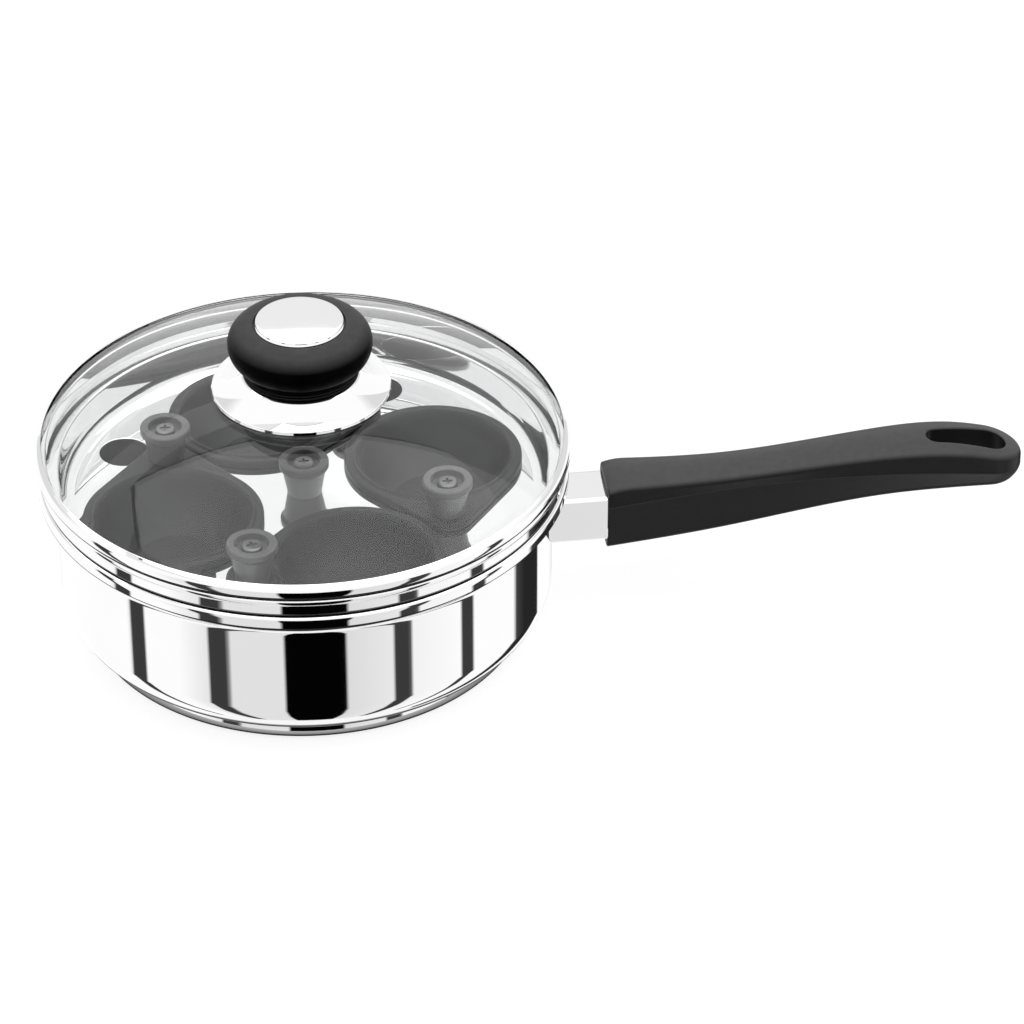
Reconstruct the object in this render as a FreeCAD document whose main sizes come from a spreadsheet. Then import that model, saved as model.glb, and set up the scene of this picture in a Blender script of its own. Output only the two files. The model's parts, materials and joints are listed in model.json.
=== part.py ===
# Egg poacher pan: a steel pan with a lift-out poaching tray, four egg cups and a glass lid.
# Millimetres. Z is the pan's axis, Z = 0 is its underside, and the handle points along +X.
import FreeCAD, Part
import math
import os
import Sketcher

DOC = FreeCAD.newDocument("EggPoacherPan")
LEFT = 1
RIGHT = -1
CUP_COUNT = 4
FULL_TURN = 360
HALF_TURN = 180
QUARTER_TURN = 90

# The driving dimensions: alias, value and meaning.
SIZES = [
    ("pan_radius", "95.5", "outside of the pan's wall"),
    ("pan_sheet", "0.8", "steel of the pan"),
    ("pan_corner", "14", "outside radius between wall and floor"),
    ("base_inset", "9.5", "how far the base cap stands in from the wall"),
    ("base_height", "5.5", "underside to the shell's floor"),
    ("base_skin", "0.8", "steel of the base cap"),
    ("base_round", "2", "rounding of the base cap's lower edge"),
    ("base_fit", "0.1", "gap round the heat-spreading disc"),
    ("flare_start", "55", "height where the wall begins to flare"),
    ("flare_height", "7", "height of the flare"),
    ("flare_step", "3.5", "how far the flare stands out"),
    ("pan_rim_step", "3", "how far the rolled rim stands out from the mouth"),
    ("rim_rise", "5.5", "flare to the crest of the pan's rim"),
    ("pan_rim_depth", "5", "height of the rolled rim"),
    ("seat_gap", "0.3", "gap under a piece that rests on another and lifts off"),
    ("tray_sheet", "0.8", "steel of the poaching tray"),
    ("tray_drop", "14", "crest of the pan's rim down to the tray's flat"),
    ("tray_wall_gap", "0.7", "gap between the tray's wall and the pan's"),
    ("tray_corner", "5", "inside radius between flat and wall"),
    ("tray_rim_height", "7.7", "height of the tray's rim above the pan's"),
    ("tray_band_inset", "1", "how far the tray's band stands in from the pan's rim"),
    ("tray_bead_round", "1.6", "section radius of the bead on the rim"),
    ("tray_bead_reach", "1", "how far the bead stands out from the band"),
    ("cup_wall_gap", "0.4", "gap between a cup's flange and the tray's corner"),
    ("cup_spacing", "6.38", "gap between neighbouring cups"),
    ("cup_angle", "15.5", "degrees from the handle to the first cup"),
    ("tab_beyond", "4.8", "how far a cup's knob stands beyond its round flange"),
    ("tab_margin", "0.4", "how far the flange's round end stands out from the knob"),
    ("tab_turn", "104", "degrees from a cup's outward direction back to its tab"),
    ("cup_3_swing", "-1.8", "degrees that the third cup is turned in its hole"),
    ("cup_4_swing", "6.7", "degrees that the fourth cup is turned in its hole"),
    ("cup_rise", "2.8", "height of the cup's flange"),
    ("cup_sheet", "1", "wall of the cup"),
    ("cup_edge_round", "0.8", "rounding of the flange's upper edge"),
    ("flange_width", "5", "mouth of the cup to the edge of its flange"),
    ("bowl_depth", "20", "flange to the inside of the bowl's floor"),
    ("bowl_slope", "14.5", "how far the bowl's side leans in to its floor"),
    ("bowl_curve", "26", "radius of the bowl's side, in section"),
    ("lip_width", "2.2", "raised ring round the mouth"),
    ("lip_height", "0.7", "height of that ring"),
    ("cup_hole_gap", "0.9", "gap round the bowl in the tray's hole"),
    ("steam_radius", "9.5", "steam hole"),
    ("steam_edge", "2.7", "steam hole to the tray's corner"),
    ("steam_angle", "62", "degrees from the handle to the first steam hole, the second a quarter on"),
    ("knob_height", "14.5", "height of a small knob"),
    ("knob_foot_radius", "6.5", "small knob where it stands"),
    ("knob_waist_radius", "8.4", "small knob under its collar"),
    ("knob_radius", "9.6", "collar of a small knob"),
    ("knob_collar", "2.8", "height of the collar"),
    ("knob_round", "0.8", "rounding of the collar's edge"),
    ("knob_recess_radius", "6.4", "recess for the screw's head"),
    ("knob_recess_depth", "3", "depth of that recess"),
    ("knob_screw_radius", "2", "shank of a small knob's screw"),
    ("knob_head_radius", "3.9", "head of a small knob's screw"),
    ("knob_head_height", "2.2", "height of that head"),
    ("screw_gap", "0.15", "gap round a screw's shank"),
    ("thread_gap", "0.05", "gap between a screw and its thread"),
    ("cross_width", "1", "slot of a cross recess"),
    ("cross_length", "4", "length of a cross recess"),
    ("cross_depth", "1.1", "depth of a cross recess"),
    ("nut_flats", "7", "across the flats of a small knob's nut"),
    ("nut_height", "3.2", "height of the nut under the tray"),
    ("nut_gap", "0.4", "gap between a cup's nut and the tray"),
    ("lid_overhang", "2", "how far the lid's band stands out from the tray's"),
    ("lid_sheet", "0.6", "steel of the lid's band and flange"),
    ("band_round", "2", "rounding of the band's lower edge"),
    ("band_cover", "3.1", "how far the band reaches over the glass"),
    ("lid_skirt_depth", "4", "depth of the skirt inside the tray's rim"),
    ("lid_skirt_gap", "0.8", "gap between that skirt and the rim"),
    ("glass_thick", "3.5", "thickness of the glass"),
    ("glass_gap", "0.1", "gap between glass and band"),
    ("dome_radius", "222", "radius of the glass dome's upper face"),
    ("flange_radius", "34.2", "outside of the chrome flange"),
    ("flange_edge", "1.2", "height of its turned-down edge"),
    ("flange_lift", "0.5", "gap between that edge and the glass"),
    ("flange_curve", "22", "section radius of the flange's hollow face"),
    ("gasket_thick", "3.6", "silicone spacer above the glass"),
    ("gasket_radius", "12", "outside of the upper silicone ring"),
    ("lower_gasket_thick", "1", "silicone below the glass"),
    ("lower_gasket_radius", "9", "outside of the lower silicone ring"),
    ("lid_knob_neck", "22", "foot of the lid's knob"),
    ("lid_knob_collar", "22.3", "the neck where it meets the head"),
    ("lid_neck_height", "5.8", "height of that neck"),
    ("lid_knob_radius", "27.5", "widest part of the lid's knob"),
    ("lid_knob_widest", "13.5", "height of the widest part above the flange"),
    ("lid_knob_height", "23.4", "height of the lid's knob with its inlay"),
    ("lid_knob_under", "8.6", "section radius below the widest part"),
    ("lid_knob_dome", "10.6", "section radius above the widest part"),
    ("inlay_radius", "17.1", "steel inlay"),
    ("inlay_thick", "2", "thickness of the inlay"),
    ("inlay_proud", "1.4", "how far the inlay stands up from the knob"),
    ("inlay_fit", "0.1", "gap round the inlay"),
    ("insert_radius", "5", "threaded insert in the lid's knob"),
    ("insert_length", "12", "length of the threaded insert"),
    ("lid_screw_radius", "2.5", "shank of the lid's screw"),
    ("lid_screw_grip", "9", "length of that screw in the insert"),
    ("lid_head_radius", "4.8", "head of the lid's screw"),
    ("lid_head_height", "3", "height of that head"),
    ("lid_washer_radius", "7", "washer on the lid's screw"),
    ("lid_washer_thick", "1", "thickness of that washer"),
    ("glass_hole_gap", "1.5", "gap round the screw in the glass"),
    ("handle_drop", "18", "start of the flare down to the handle's axis"),
    ("ferrule_width", "21.4", "width of the ferrule"),
    ("ferrule_height", "19.6", "height of the ferrule"),
    ("ferrule_sheet", "1", "steel of the ferrule"),
    ("ferrule_length", "21.5", "pan's wall to the grip"),
    ("ferrule_round", "1.8", "rounding of the ferrule's edges"),
    ("weld_gap", "0.05", "gap at a welded joint"),
    ("weld_reach", "3", "allowance that is trimmed to the pan's wall"),
    ("weld_plate_thick", "2", "bracket plate on the pan's wall"),
    ("tongue_width", "14", "width of the bracket's tongue"),
    ("tongue_thick", "4", "thickness of the tongue"),
    ("tongue_length", "36", "length of the tongue inside the grip"),
    ("tongue_gap", "0.2", "gap round the tongue"),
    ("grip_length", "165.3", "length of the grip"),
    ("waist_share", "0.29", "root to the waist of the grip, as a share of its length"),
    ("rise_share", "0.653", "root to the highest part of the grip, as a share"),
    ("bow_share", "0.847", "root to the section at the hang slot, as a share"),
    ("root_half_width", "12.6", "grip at its root: half width at the parting line"),
    ("root_parting", "6.5", "parting line there, from the handle's axis"),
    ("root_top", "15", "upper edge there, from the handle's axis"),
    ("root_bottom", "-15.1", "underside there, from the handle's axis"),
    ("waist_half_width", "10.8", "grip at its waist: half width at the parting line"),
    ("waist_parting", "10.3", "parting line there, from the handle's axis"),
    ("waist_top", "15", "upper edge there, from the handle's axis"),
    ("waist_bottom", "-10.7", "underside there, from the handle's axis"),
    ("rise_half_width", "12.2", "grip at its highest part: half width at the parting line"),
    ("rise_parting", "12.4", "parting line there, from the handle's axis"),
    ("rise_top", "20", "upper edge there, from the handle's axis"),
    ("rise_bottom", "-0.7", "underside there, from the handle's axis"),
    ("bow_half_width", "13.4", "grip at its hang slot: half width at the parting line"),
    ("bow_parting", "11", "parting line there, from the handle's axis"),
    ("bow_top", "19.4", "upper edge there, from the handle's axis"),
    ("bow_bottom", "1.2", "underside there, from the handle's axis"),
    ("tip_half_width", "12.8", "grip at its end: half width at the parting line"),
    ("tip_parting", "7.8", "parting line there, from the handle's axis"),
    ("tip_top", "13.4", "upper edge there, from the handle's axis"),
    ("tip_bottom", "0.4", "underside there, from the handle's axis"),
    ("grip_shoulder", "2.4", "size of the rounded upper edges"),
    ("grip_draft", "0.9", "how far the upper sides lean in"),
    ("grip_taper", "3.6", "how far the lower sides lean in"),
    ("grip_crown", "0.9", "rise of the grip's crowned top"),
    ("tip_round", "13.6", "radius of the grip's end, seen from above"),
    ("tip_foot", "7.6", "radius of the end where it meets the underside"),
    ("tip_curve", "10", "section radius of the end below the parting line"),
    ("slot_run", "21", "distance between the slot's two rounds"),
    ("slot_inner_radius", "4.4", "slot's inner round"),
    ("slot_end", "12.8", "slot's outer round to the end of the grip"),
    ("slot_outer_radius", "6.4", "slot's outer round"),
    ("handle_screw_at", "21", "root to the handle's screw"),
    ("handle_screw_radius", "2.5", "shank of the handle's screw"),
    ("handle_screw_tip", "1", "length of that screw above the tongue"),
    ("handle_head_radius", "4.2", "head of the handle's screw"),
    ("handle_head_height", "3", "height of that head"),
    ("handle_washer_radius", "4.6", "washer on the handle's screw"),
    ("handle_washer_thick", "0.8", "thickness of that washer"),
    ("handle_bore_gap", "0.4", "gap round that washer"),
    ("handle_seat", "-6.5", "face the washer bears on, from the handle's axis"),
]


def make_sheet():
    """Writes the driving dimensions into the document's sheet."""
    sheet = DOC.addObject("Spreadsheet::Sheet", "Sizes")
    for row, (alias, value, meaning) in enumerate(SIZES, start=1):
        sheet.set(f"A{row}", value)
        sheet.setAlias(f"A{row}", alias)
        sheet.set(f"B{row}", meaning)
    DOC.recompute()
    return sheet


class Dim:
    """A length worked out from the sheet: its expression and its present value."""

    def __init__(self, text, value):
        self.text = text
        self.value = value

    def __add__(self, other):
        other = as_dim(other)
        return Dim(f"({self.text} + {other.text})", self.value + other.value)

    def __sub__(self, other):
        other = as_dim(other)
        return Dim(f"({self.text} - {other.text})", self.value - other.value)

    def __mul__(self, other):
        other = as_dim(other)
        return Dim(f"({self.text} * {other.text})", self.value * other.value)

    def __truediv__(self, other):
        other = as_dim(other)
        return Dim(f"({self.text} / {other.text})", self.value / other.value)

    def __neg__(self):
        return Dim(f"(-{self.text})", -self.value)


def as_dim(number):
    """A plain number as a Dim."""
    if isinstance(number, Dim):
        return number
    return Dim(str(number), float(number))


def root(dim):
    """Square root."""
    return Dim(f"sqrt({dim.text})", math.sqrt(dim.value))


def cosine(dim):
    """Cosine of an angle in degrees."""
    return Dim(f"cos({dim.text})", math.cos(math.radians(dim.value)))


def sine(dim):
    """Sine of an angle in degrees."""
    return Dim(f"sin({dim.text})", math.sin(math.radians(dim.value)))


def other_side(hypotenuse, side):
    """The second short side of a right-angled triangle."""
    return root(hypotenuse * hypotenuse - side * side)


SHEET = make_sheet()
PIECES = []


def size(alias):
    """A driving dimension by its alias."""
    return Dim(f"Sizes.{alias}", float(SHEET.get(alias)))


def origin_plane(body, role):
    """One of a body's own origin planes."""
    return next(item for item in body.Origin.OriginFeatures if item.Role == role)


def new_body(label):
    """An empty body that is one piece of the object."""
    body = DOC.addObject("PartDesign::Body", label)
    body.Label = label
    PIECES.append(body)
    return body


def new_sketch(body, name, plane, offset=None):
    """An empty sketch on an origin plane, moved along the plane's normal by offset."""
    sketch = body.newObject("Sketcher::SketchObject", name)
    sketch.AttachmentSupport = [(origin_plane(body, plane), "")]
    sketch.MapMode = "FlatFace"
    if offset is not None:
        sketch.setExpression("AttachmentOffset.Base.z", offset.text)
    return sketch


def bind_point(sketch, edge, end, x, y):
    """Binds a sketch point's distances from the origin; a plain 0 puts it on an axis."""
    for kind, axis, value in (("DistanceX", -2, x), ("DistanceY", -1, y)):
        if isinstance(value, Dim):
            rule = Sketcher.Constraint(kind, -1, 1, edge, end, value.value)
            index = sketch.addConstraint(rule)
            sketch.setExpression(f"Constraints[{index}]", value.text)
        else:
            sketch.addConstraint(Sketcher.Constraint("PointOnObject", edge, end, axis))


def bind_radius(sketch, edge, radius):
    """Binds the radius of a circle or arc."""
    index = sketch.addConstraint(Sketcher.Constraint("Radius", edge, radius.value))
    sketch.setExpression(f"Constraints[{index}]", radius.text)


def short_arc(start, finish, radius, bend):
    """The arc of under a half turn from start to finish that bends to the given side."""
    chord = finish - start
    side = FreeCAD.Vector(-chord.y, chord.x, 0).normalize()
    height = math.sqrt(max(radius * radius - chord.Length * chord.Length / 4, 0))
    centre = (start + finish) * 0.5 + side * (height * bend)
    first, last = (start, finish) if bend == LEFT else (finish, start)
    begin = math.atan2(first.y - centre.y, first.x - centre.x)
    end = math.atan2(last.y - centre.y, last.x - centre.x)
    if end < begin:
        end += 2 * math.pi
    circle = Part.Circle(centre, FreeCAD.Vector(0, 0, 1), radius)
    return Part.ArcOfCircle(circle, begin, end)


def outline(sketch, corners):
    """A closed outline. A corner is (x, y), or (x, y, radius, bend) where an arc leads to it.

    An arc at the first corner closes the outline from the last one.
    """
    points = [FreeCAD.Vector(as_dim(c[0]).value, as_dim(c[1]).value, 0) for c in corners]
    count = len(corners)
    ends = []
    for index in range(count):
        following = corners[(index + 1) % count]
        start = points[index]
        finish = points[(index + 1) % count]
        if len(following) == 2:
            sketch.addGeometry(Part.LineSegment(start, finish))
            ends.append((1, 2))
        else:
            radius, bend = following[2:]
            sketch.addGeometry(short_arc(start, finish, radius.value, bend))
            ends.append((1, 2) if bend == LEFT else (2, 1))
    joints = []
    for index in range(count):
        after = (index + 1) % count
        joints.append(Sketcher.Constraint("Coincident", index, ends[index][1], after, ends[after][0]))
    sketch.addConstraint(joints)
    for index, corner in enumerate(corners):
        bind_point(sketch, index, ends[index][0], corner[0], corner[1])
    for index in range(count):
        following = corners[(index + 1) % count]
        if len(following) > 2:
            bind_radius(sketch, index, following[2])
    return sketch


def circle(sketch, x, y, radius):
    """A circle bound to the sheet."""
    centre = FreeCAD.Vector(as_dim(x).value, as_dim(y).value, 0)
    edge = sketch.addGeometry(Part.Circle(centre, FreeCAD.Vector(0, 0, 1), radius.value))
    bind_point(sketch, edge, 3, x, y)
    bind_radius(sketch, edge, radius)
    return sketch


def rounded_pair(sketch, x_first, r_first, x_second, r_second):
    """The outline of a belt drawn tight round two circles on the X axis, larger x second."""
    first_x = as_dim(x_first).value
    second_x = as_dim(x_second).value
    lean = math.acos((r_first.value - r_second.value) / (second_x - first_x))
    normal = FreeCAD.Vector(0, 0, 1)
    centres = [FreeCAD.Vector(first_x, 0, 0), FreeCAD.Vector(second_x, 0, 0)]
    radii = [r_first.value, r_second.value]
    rounds = [Part.Circle(centre, normal, radius) for centre, radius in zip(centres, radii)]
    sketch.addGeometry(Part.ArcOfCircle(rounds[0], lean, 2 * math.pi - lean))
    sketch.addGeometry(Part.ArcOfCircle(rounds[1], -lean, lean))
    for sign in (1, -1):
        reach = FreeCAD.Vector(math.cos(lean), sign * math.sin(lean), 0)
        start = centres[0] + reach * radii[0]
        finish = centres[1] + reach * radii[1]
        sketch.addGeometry(Part.LineSegment(start, finish))
    for edge, x, radius in ((0, x_first, r_first), (1, x_second, r_second)):
        bind_point(sketch, edge, 3, x, 0)
        bind_radius(sketch, edge, radius)
    for arc, arc_end, line, line_end in ((0, 1, 2, 1), (2, 2, 1, 2), (0, 2, 3, 1), (3, 2, 1, 1)):
        sketch.addConstraint(Sketcher.Constraint("Tangent", arc, arc_end, line, line_end))
    return sketch


def turned(label, corners):
    """A piece turned about the Z axis, from an outline of (radius, height) corners."""
    body = new_body(label)
    add_turned(body, label, corners)
    return body


def add_turned(body, name, corners):
    """Adds a turned solid to a body."""
    sketch = outline(new_sketch(body, f"{name}_profile", "XZ_Plane"), corners)
    turn = body.newObject("PartDesign::Revolution", f"{name}_turn")
    turn.Profile = sketch
    turn.ReferenceAxis = (sketch, ["V_Axis"])
    turn.Angle = FULL_TURN
    return turn


def pad(body, name, sketch, length):
    """Adds material along the sketch's normal."""
    feature = body.newObject("PartDesign::Pad", name)
    feature.Profile = sketch
    feature.setExpression("Length", length.text)
    return feature


def cut(body, name, sketch, depth=None, up=False):
    """Removes material below the sketch, or above it; with no depth the cut goes right through."""
    feature = body.newObject("PartDesign::Pocket", name)
    feature.Profile = sketch
    feature.Reversed = up
    if depth is None:
        feature.Type = "ThroughAll"
    else:
        feature.setExpression("Length", depth.text)
    return feature


def ring_of(body, name, feature, sketch, count):
    """Repeats a feature evenly round the sketch's normal."""
    pattern = body.newObject("PartDesign::PolarPattern", name)
    pattern.Originals = [feature]
    pattern.Axis = (sketch, ["N_Axis"])
    pattern.Angle = FULL_TURN
    pattern.Occurrences = count
    body.Tip = pattern
    return pattern


def place(piece, x, y, z, angle=None):
    """Binds where a piece stands, and its turn about Z in degrees."""
    for axis, value in (("x", x), ("y", y), ("z", z)):
        piece.setExpression(f"Placement.Base.{axis}", as_dim(value).text)
    if angle is not None:
        piece.setExpression("Placement.Rotation.Angle", angle.text)


def washer(label, bore, radius, bottom, thick):
    """A flat ring about the Z axis."""
    top = bottom + thick
    return turned(label, [(bore, bottom), (radius, bottom), (radius, top), (bore, top)])


def cross_recess(body, name, top, up=False):
    """Sinks a cross recess into a screw's head, from above or from below."""
    reach = size("cross_length") / 2
    arm = size("cross_width") / 2
    sketch = new_sketch(body, f"{name}_cross", "XY_Plane", top)
    outline(sketch, [
        (reach, -arm), (reach, arm), (arm, arm), (arm, reach), (-arm, reach), (-arm, arm),
        (-reach, arm), (-reach, -arm), (-arm, -arm), (-arm, -reach), (arm, -reach), (arm, -arm),
    ])
    cut(body, f"{name}_recess", sketch, size("cross_depth"), up)


# Heights and radii that several pieces share.
MOUTH = size("pan_radius") + size("flare_step")
MOUTH_INSIDE = MOUTH - size("pan_sheet")
FLARE_TOP = size("flare_start") + size("flare_height")
PAN_TOP = FLARE_TOP + size("rim_rise")
PAN_RIM = MOUTH + size("pan_rim_step")
RIM_ROUND = (PAN_RIM - MOUTH_INSIDE) / 2
RIM_CENTRE = PAN_RIM - RIM_ROUND
RIM_CENTRE_Z = PAN_TOP - RIM_ROUND
TRAY_WALL = size("pan_radius") - size("pan_sheet") - size("tray_wall_gap")
TRAY_INSIDE = TRAY_WALL - size("tray_sheet")
FLAT_RADIUS = TRAY_INSIDE - size("tray_corner")
TRAY_TOP = PAN_TOP - size("tray_drop")
TRAY_BAND = PAN_RIM - size("tray_band_inset")
LEDGE = PAN_TOP + size("seat_gap")
BEAD_TOP = LEDGE + size("tray_rim_height")
BEAD_CENTRE = TRAY_BAND + size("tray_bead_reach") - size("tray_bead_round")
RIM_INSIDE = BEAD_CENTRE - size("tray_bead_round")
CUP_REACH = FLAT_RADIUS - size("cup_wall_gap")
NEIGHBOUR = sine(as_dim(HALF_TURN / CUP_COUNT)) * 2
CUP_PITCH = (CUP_REACH * 2 + size("cup_spacing")) / (NEIGHBOUR + 2)
CUP_RADIUS = CUP_REACH - CUP_PITCH
BOWL_RADIUS = CUP_RADIUS - size("flange_width")
TAB_REACH = CUP_RADIUS + size("tab_beyond")
TAB_RADIUS = size("knob_radius") + size("tab_margin")
CUP_SEAT = TRAY_TOP + size("seat_gap")
CUP_TOP = CUP_SEAT + size("cup_rise")
LID_RADIUS = TRAY_BAND + size("lid_overhang")
BAND_BOTTOM = BEAD_TOP + size("seat_gap")
BAND_FLOOR = BAND_BOTTOM + size("lid_sheet")
GLASS_RADIUS = LID_RADIUS - size("band_round")
GLASS_INNER = size("dome_radius") - size("glass_thick")
DOME_CENTRE = BAND_FLOOR + size("glass_gap") - other_side(GLASS_INNER, GLASS_RADIUS)
HANDLE_AXIS = size("flare_start") - size("handle_drop")
GRIP_START = size("pan_radius") + size("ferrule_length")
GRIP_END = GRIP_START + size("grip_length")
HANDLE_SCREW_X = GRIP_START + size("handle_screw_at")


def glass_top(radius):
    """Height of the glass dome's upper face at a radius."""
    return DOME_CENTRE + other_side(size("dome_radius"), radius)


def glass_under(radius):
    """Height of the glass dome's lower face at a radius."""
    return DOME_CENTRE + other_side(GLASS_INNER, radius)


GASKET_BORE = size("lid_screw_radius") + size("glass_hole_gap")
GASKET_BOTTOM = glass_top(GASKET_BORE)
FLANGE_UNDER = GASKET_BOTTOM + size("gasket_thick")
FLANGE_TOP = FLANGE_UNDER + size("lid_sheet")


def make_pan_body():
    """The spun shell: floor, wall, S-shaped flare and turned-down rolled rim."""
    sheet = size("pan_sheet")
    wall = size("pan_radius")
    inside = wall - sheet
    floor = size("base_height")
    corner = size("pan_corner")
    flare = size("flare_start")
    half_step = size("flare_step") / 2
    half_height = size("flare_height") / 2
    bend = (half_step * half_step + half_height * half_height) / (half_step * 2)
    lean_in = (bend - half_step) / bend * sheet
    lean_up = half_height / bend * sheet
    middle = (wall + half_step, flare + half_height)
    middle_inside = (middle[0] - lean_in, middle[1] + lean_up)
    hem = PAN_TOP - size("pan_rim_depth")
    turned("pan_body", [
        (0, floor),
        (wall - corner, floor),
        (wall, floor + corner, corner, LEFT),
        (wall, flare),
        (*middle, bend, RIGHT),
        (MOUTH, FLARE_TOP, bend, LEFT),
        (MOUTH, RIM_CENTRE_Z),
        (RIM_CENTRE, RIM_CENTRE_Z + RIM_ROUND - sheet, RIM_ROUND - sheet, RIGHT),
        (PAN_RIM - sheet, RIM_CENTRE_Z, RIM_ROUND - sheet, RIGHT),
        (PAN_RIM - sheet, hem),
        (PAN_RIM, hem),
        (PAN_RIM, RIM_CENTRE_Z),
        (RIM_CENTRE, PAN_TOP, RIM_ROUND, LEFT),
        (MOUTH_INSIDE, RIM_CENTRE_Z, RIM_ROUND, LEFT),
        (MOUTH_INSIDE, FLARE_TOP),
        (*middle_inside, bend + sheet, RIGHT),
        (inside, flare, bend - sheet, LEFT),
        (inside, floor + corner),
        (wall - corner, floor + sheet, corner - sheet, RIGHT),
        (0, floor + sheet),
    ])


def make_base():
    """The aluminium disc under the floor and the steel cap that encloses it."""
    skin = size("base_skin")
    edge = size("base_round")
    outer = size("pan_radius") - size("base_inset")
    top = size("base_height")
    fit = size("base_fit")
    inner = outer - skin
    core = inner - fit
    turned("base_core", [
        (0, skin), (outer - edge - fit, skin), (core, edge, edge - skin, LEFT), (core, top), (0, top),
    ])
    turned("base_cap", [
        (0, 0), (outer - edge, 0), (outer, edge, edge, LEFT), (outer, top), (inner, top),
        (inner, edge), (outer - edge, skin, edge - skin, RIGHT), (0, skin),
    ])


def trim_to_wall(body, name):
    """Trims a piece of the handle to the pan's round wall."""
    middle = HANDLE_AXIS + size("ferrule_height")
    sketch = new_sketch(body, f"{name}_wall", "XY_Plane", middle)
    circle(sketch, 0, 0, size("pan_radius") + size("weld_gap"))
    cut(body, f"{name}_trim", sketch)


def box_section(sketch, half_width, half_height):
    """A rectangle centred on the handle's axis."""
    middle = HANDLE_AXIS
    low = middle - half_height
    high = middle + half_height
    return outline(sketch, [(-half_width, low), (half_width, low), (half_width, high), (-half_width, high)])


def round_section(sketch, half_width, half_height, edge):
    """A rectangle with rounded corners, centred on the handle's axis."""
    low = HANDLE_AXIS - half_height
    high = HANDLE_AXIS + half_height
    return outline(sketch, [
        (half_width - edge, low), (half_width, low + edge, edge, LEFT),
        (half_width, high - edge), (half_width - edge, high, edge, LEFT),
        (edge - half_width, high), (-half_width, high - edge, edge, LEFT),
        (-half_width, low + edge), (edge - half_width, low, edge, LEFT),
    ])


def make_bracket():
    """The welded plate and the tongue that reaches into the grip, tapped for the screw."""
    body = new_body("handle_bracket")
    start = size("pan_radius") - size("weld_reach")
    inset = size("ferrule_sheet") + size("tongue_gap")
    plate = new_sketch(body, "bracket_plate_section", "YZ_Plane", start)
    round_section(
        plate, size("ferrule_width") / 2 - inset, size("ferrule_height") / 2 - inset,
        size("ferrule_round") - inset,
    )
    pad(body, "bracket_plate", plate, size("weld_reach") + size("weld_plate_thick"))
    tongue = new_sketch(body, "bracket_tongue_section", "YZ_Plane", start)
    box_section(tongue, size("tongue_width") / 2, size("tongue_thick") / 2)
    reach = GRIP_START + size("tongue_length") - start
    pad(body, "bracket_tongue", tongue, reach)
    trim_to_wall(body, "bracket")
    tapping = new_sketch(body, "bracket_tapping", "XY_Plane", HANDLE_AXIS + size("tongue_thick"))
    circle(tapping, HANDLE_SCREW_X, 0, size("handle_screw_radius") + size("thread_gap"))
    cut(body, "bracket_thread", tapping)


def make_ferrule():
    """The flame guard between the pan's wall and the grip."""
    body = new_body("handle_ferrule")
    start = size("pan_radius") - size("weld_reach")
    sheet = size("ferrule_sheet")
    half_width = size("ferrule_width") / 2
    half_height = size("ferrule_height") / 2
    edge = size("ferrule_round")
    outside = round_section(
        new_sketch(body, "ferrule_outside", "YZ_Plane", start), half_width, half_height, edge)
    pad(body, "ferrule_sleeve", outside, GRIP_START - start)
    inside = round_section(
        new_sketch(body, "ferrule_inside", "YZ_Plane", GRIP_START),
        half_width - sheet, half_height - sheet, edge - sheet)
    cut(body, "ferrule_bore", inside)
    trim_to_wall(body, "ferrule")


def grip_section(body, name, at):
    """One section of the grip: crowned top, leaning sides, a parting line and a tapered underside."""
    wide = size(f"{name}_half_width")
    parting = HANDLE_AXIS + size(f"{name}_parting")
    top = HANDLE_AXIS + size(f"{name}_top")
    bottom = HANDLE_AXIS + size(f"{name}_bottom")
    shoulder = size("grip_shoulder")
    crown = size("grip_crown")
    edge = wide - size("grip_draft")
    foot = wide - size("grip_taper")
    flat = edge - shoulder
    dome = (flat * flat + crown * crown) / (crown * 2)
    sole = foot - shoulder
    sketch = new_sketch(body, f"grip_{name}", "YZ_Plane", at)
    return outline(sketch, [
        (sole, bottom),
        (foot, bottom + shoulder, shoulder, LEFT),
        (wide, parting),
        (edge, top - shoulder),
        (flat, top, shoulder, LEFT),
        (0, top + crown, dome, LEFT),
        (-flat, top, dome, LEFT),
        (-edge, top - shoulder, shoulder, LEFT),
        (-wide, parting),
        (-foot, bottom + shoulder),
        (-sole, bottom, shoulder, LEFT),
    ])


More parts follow.
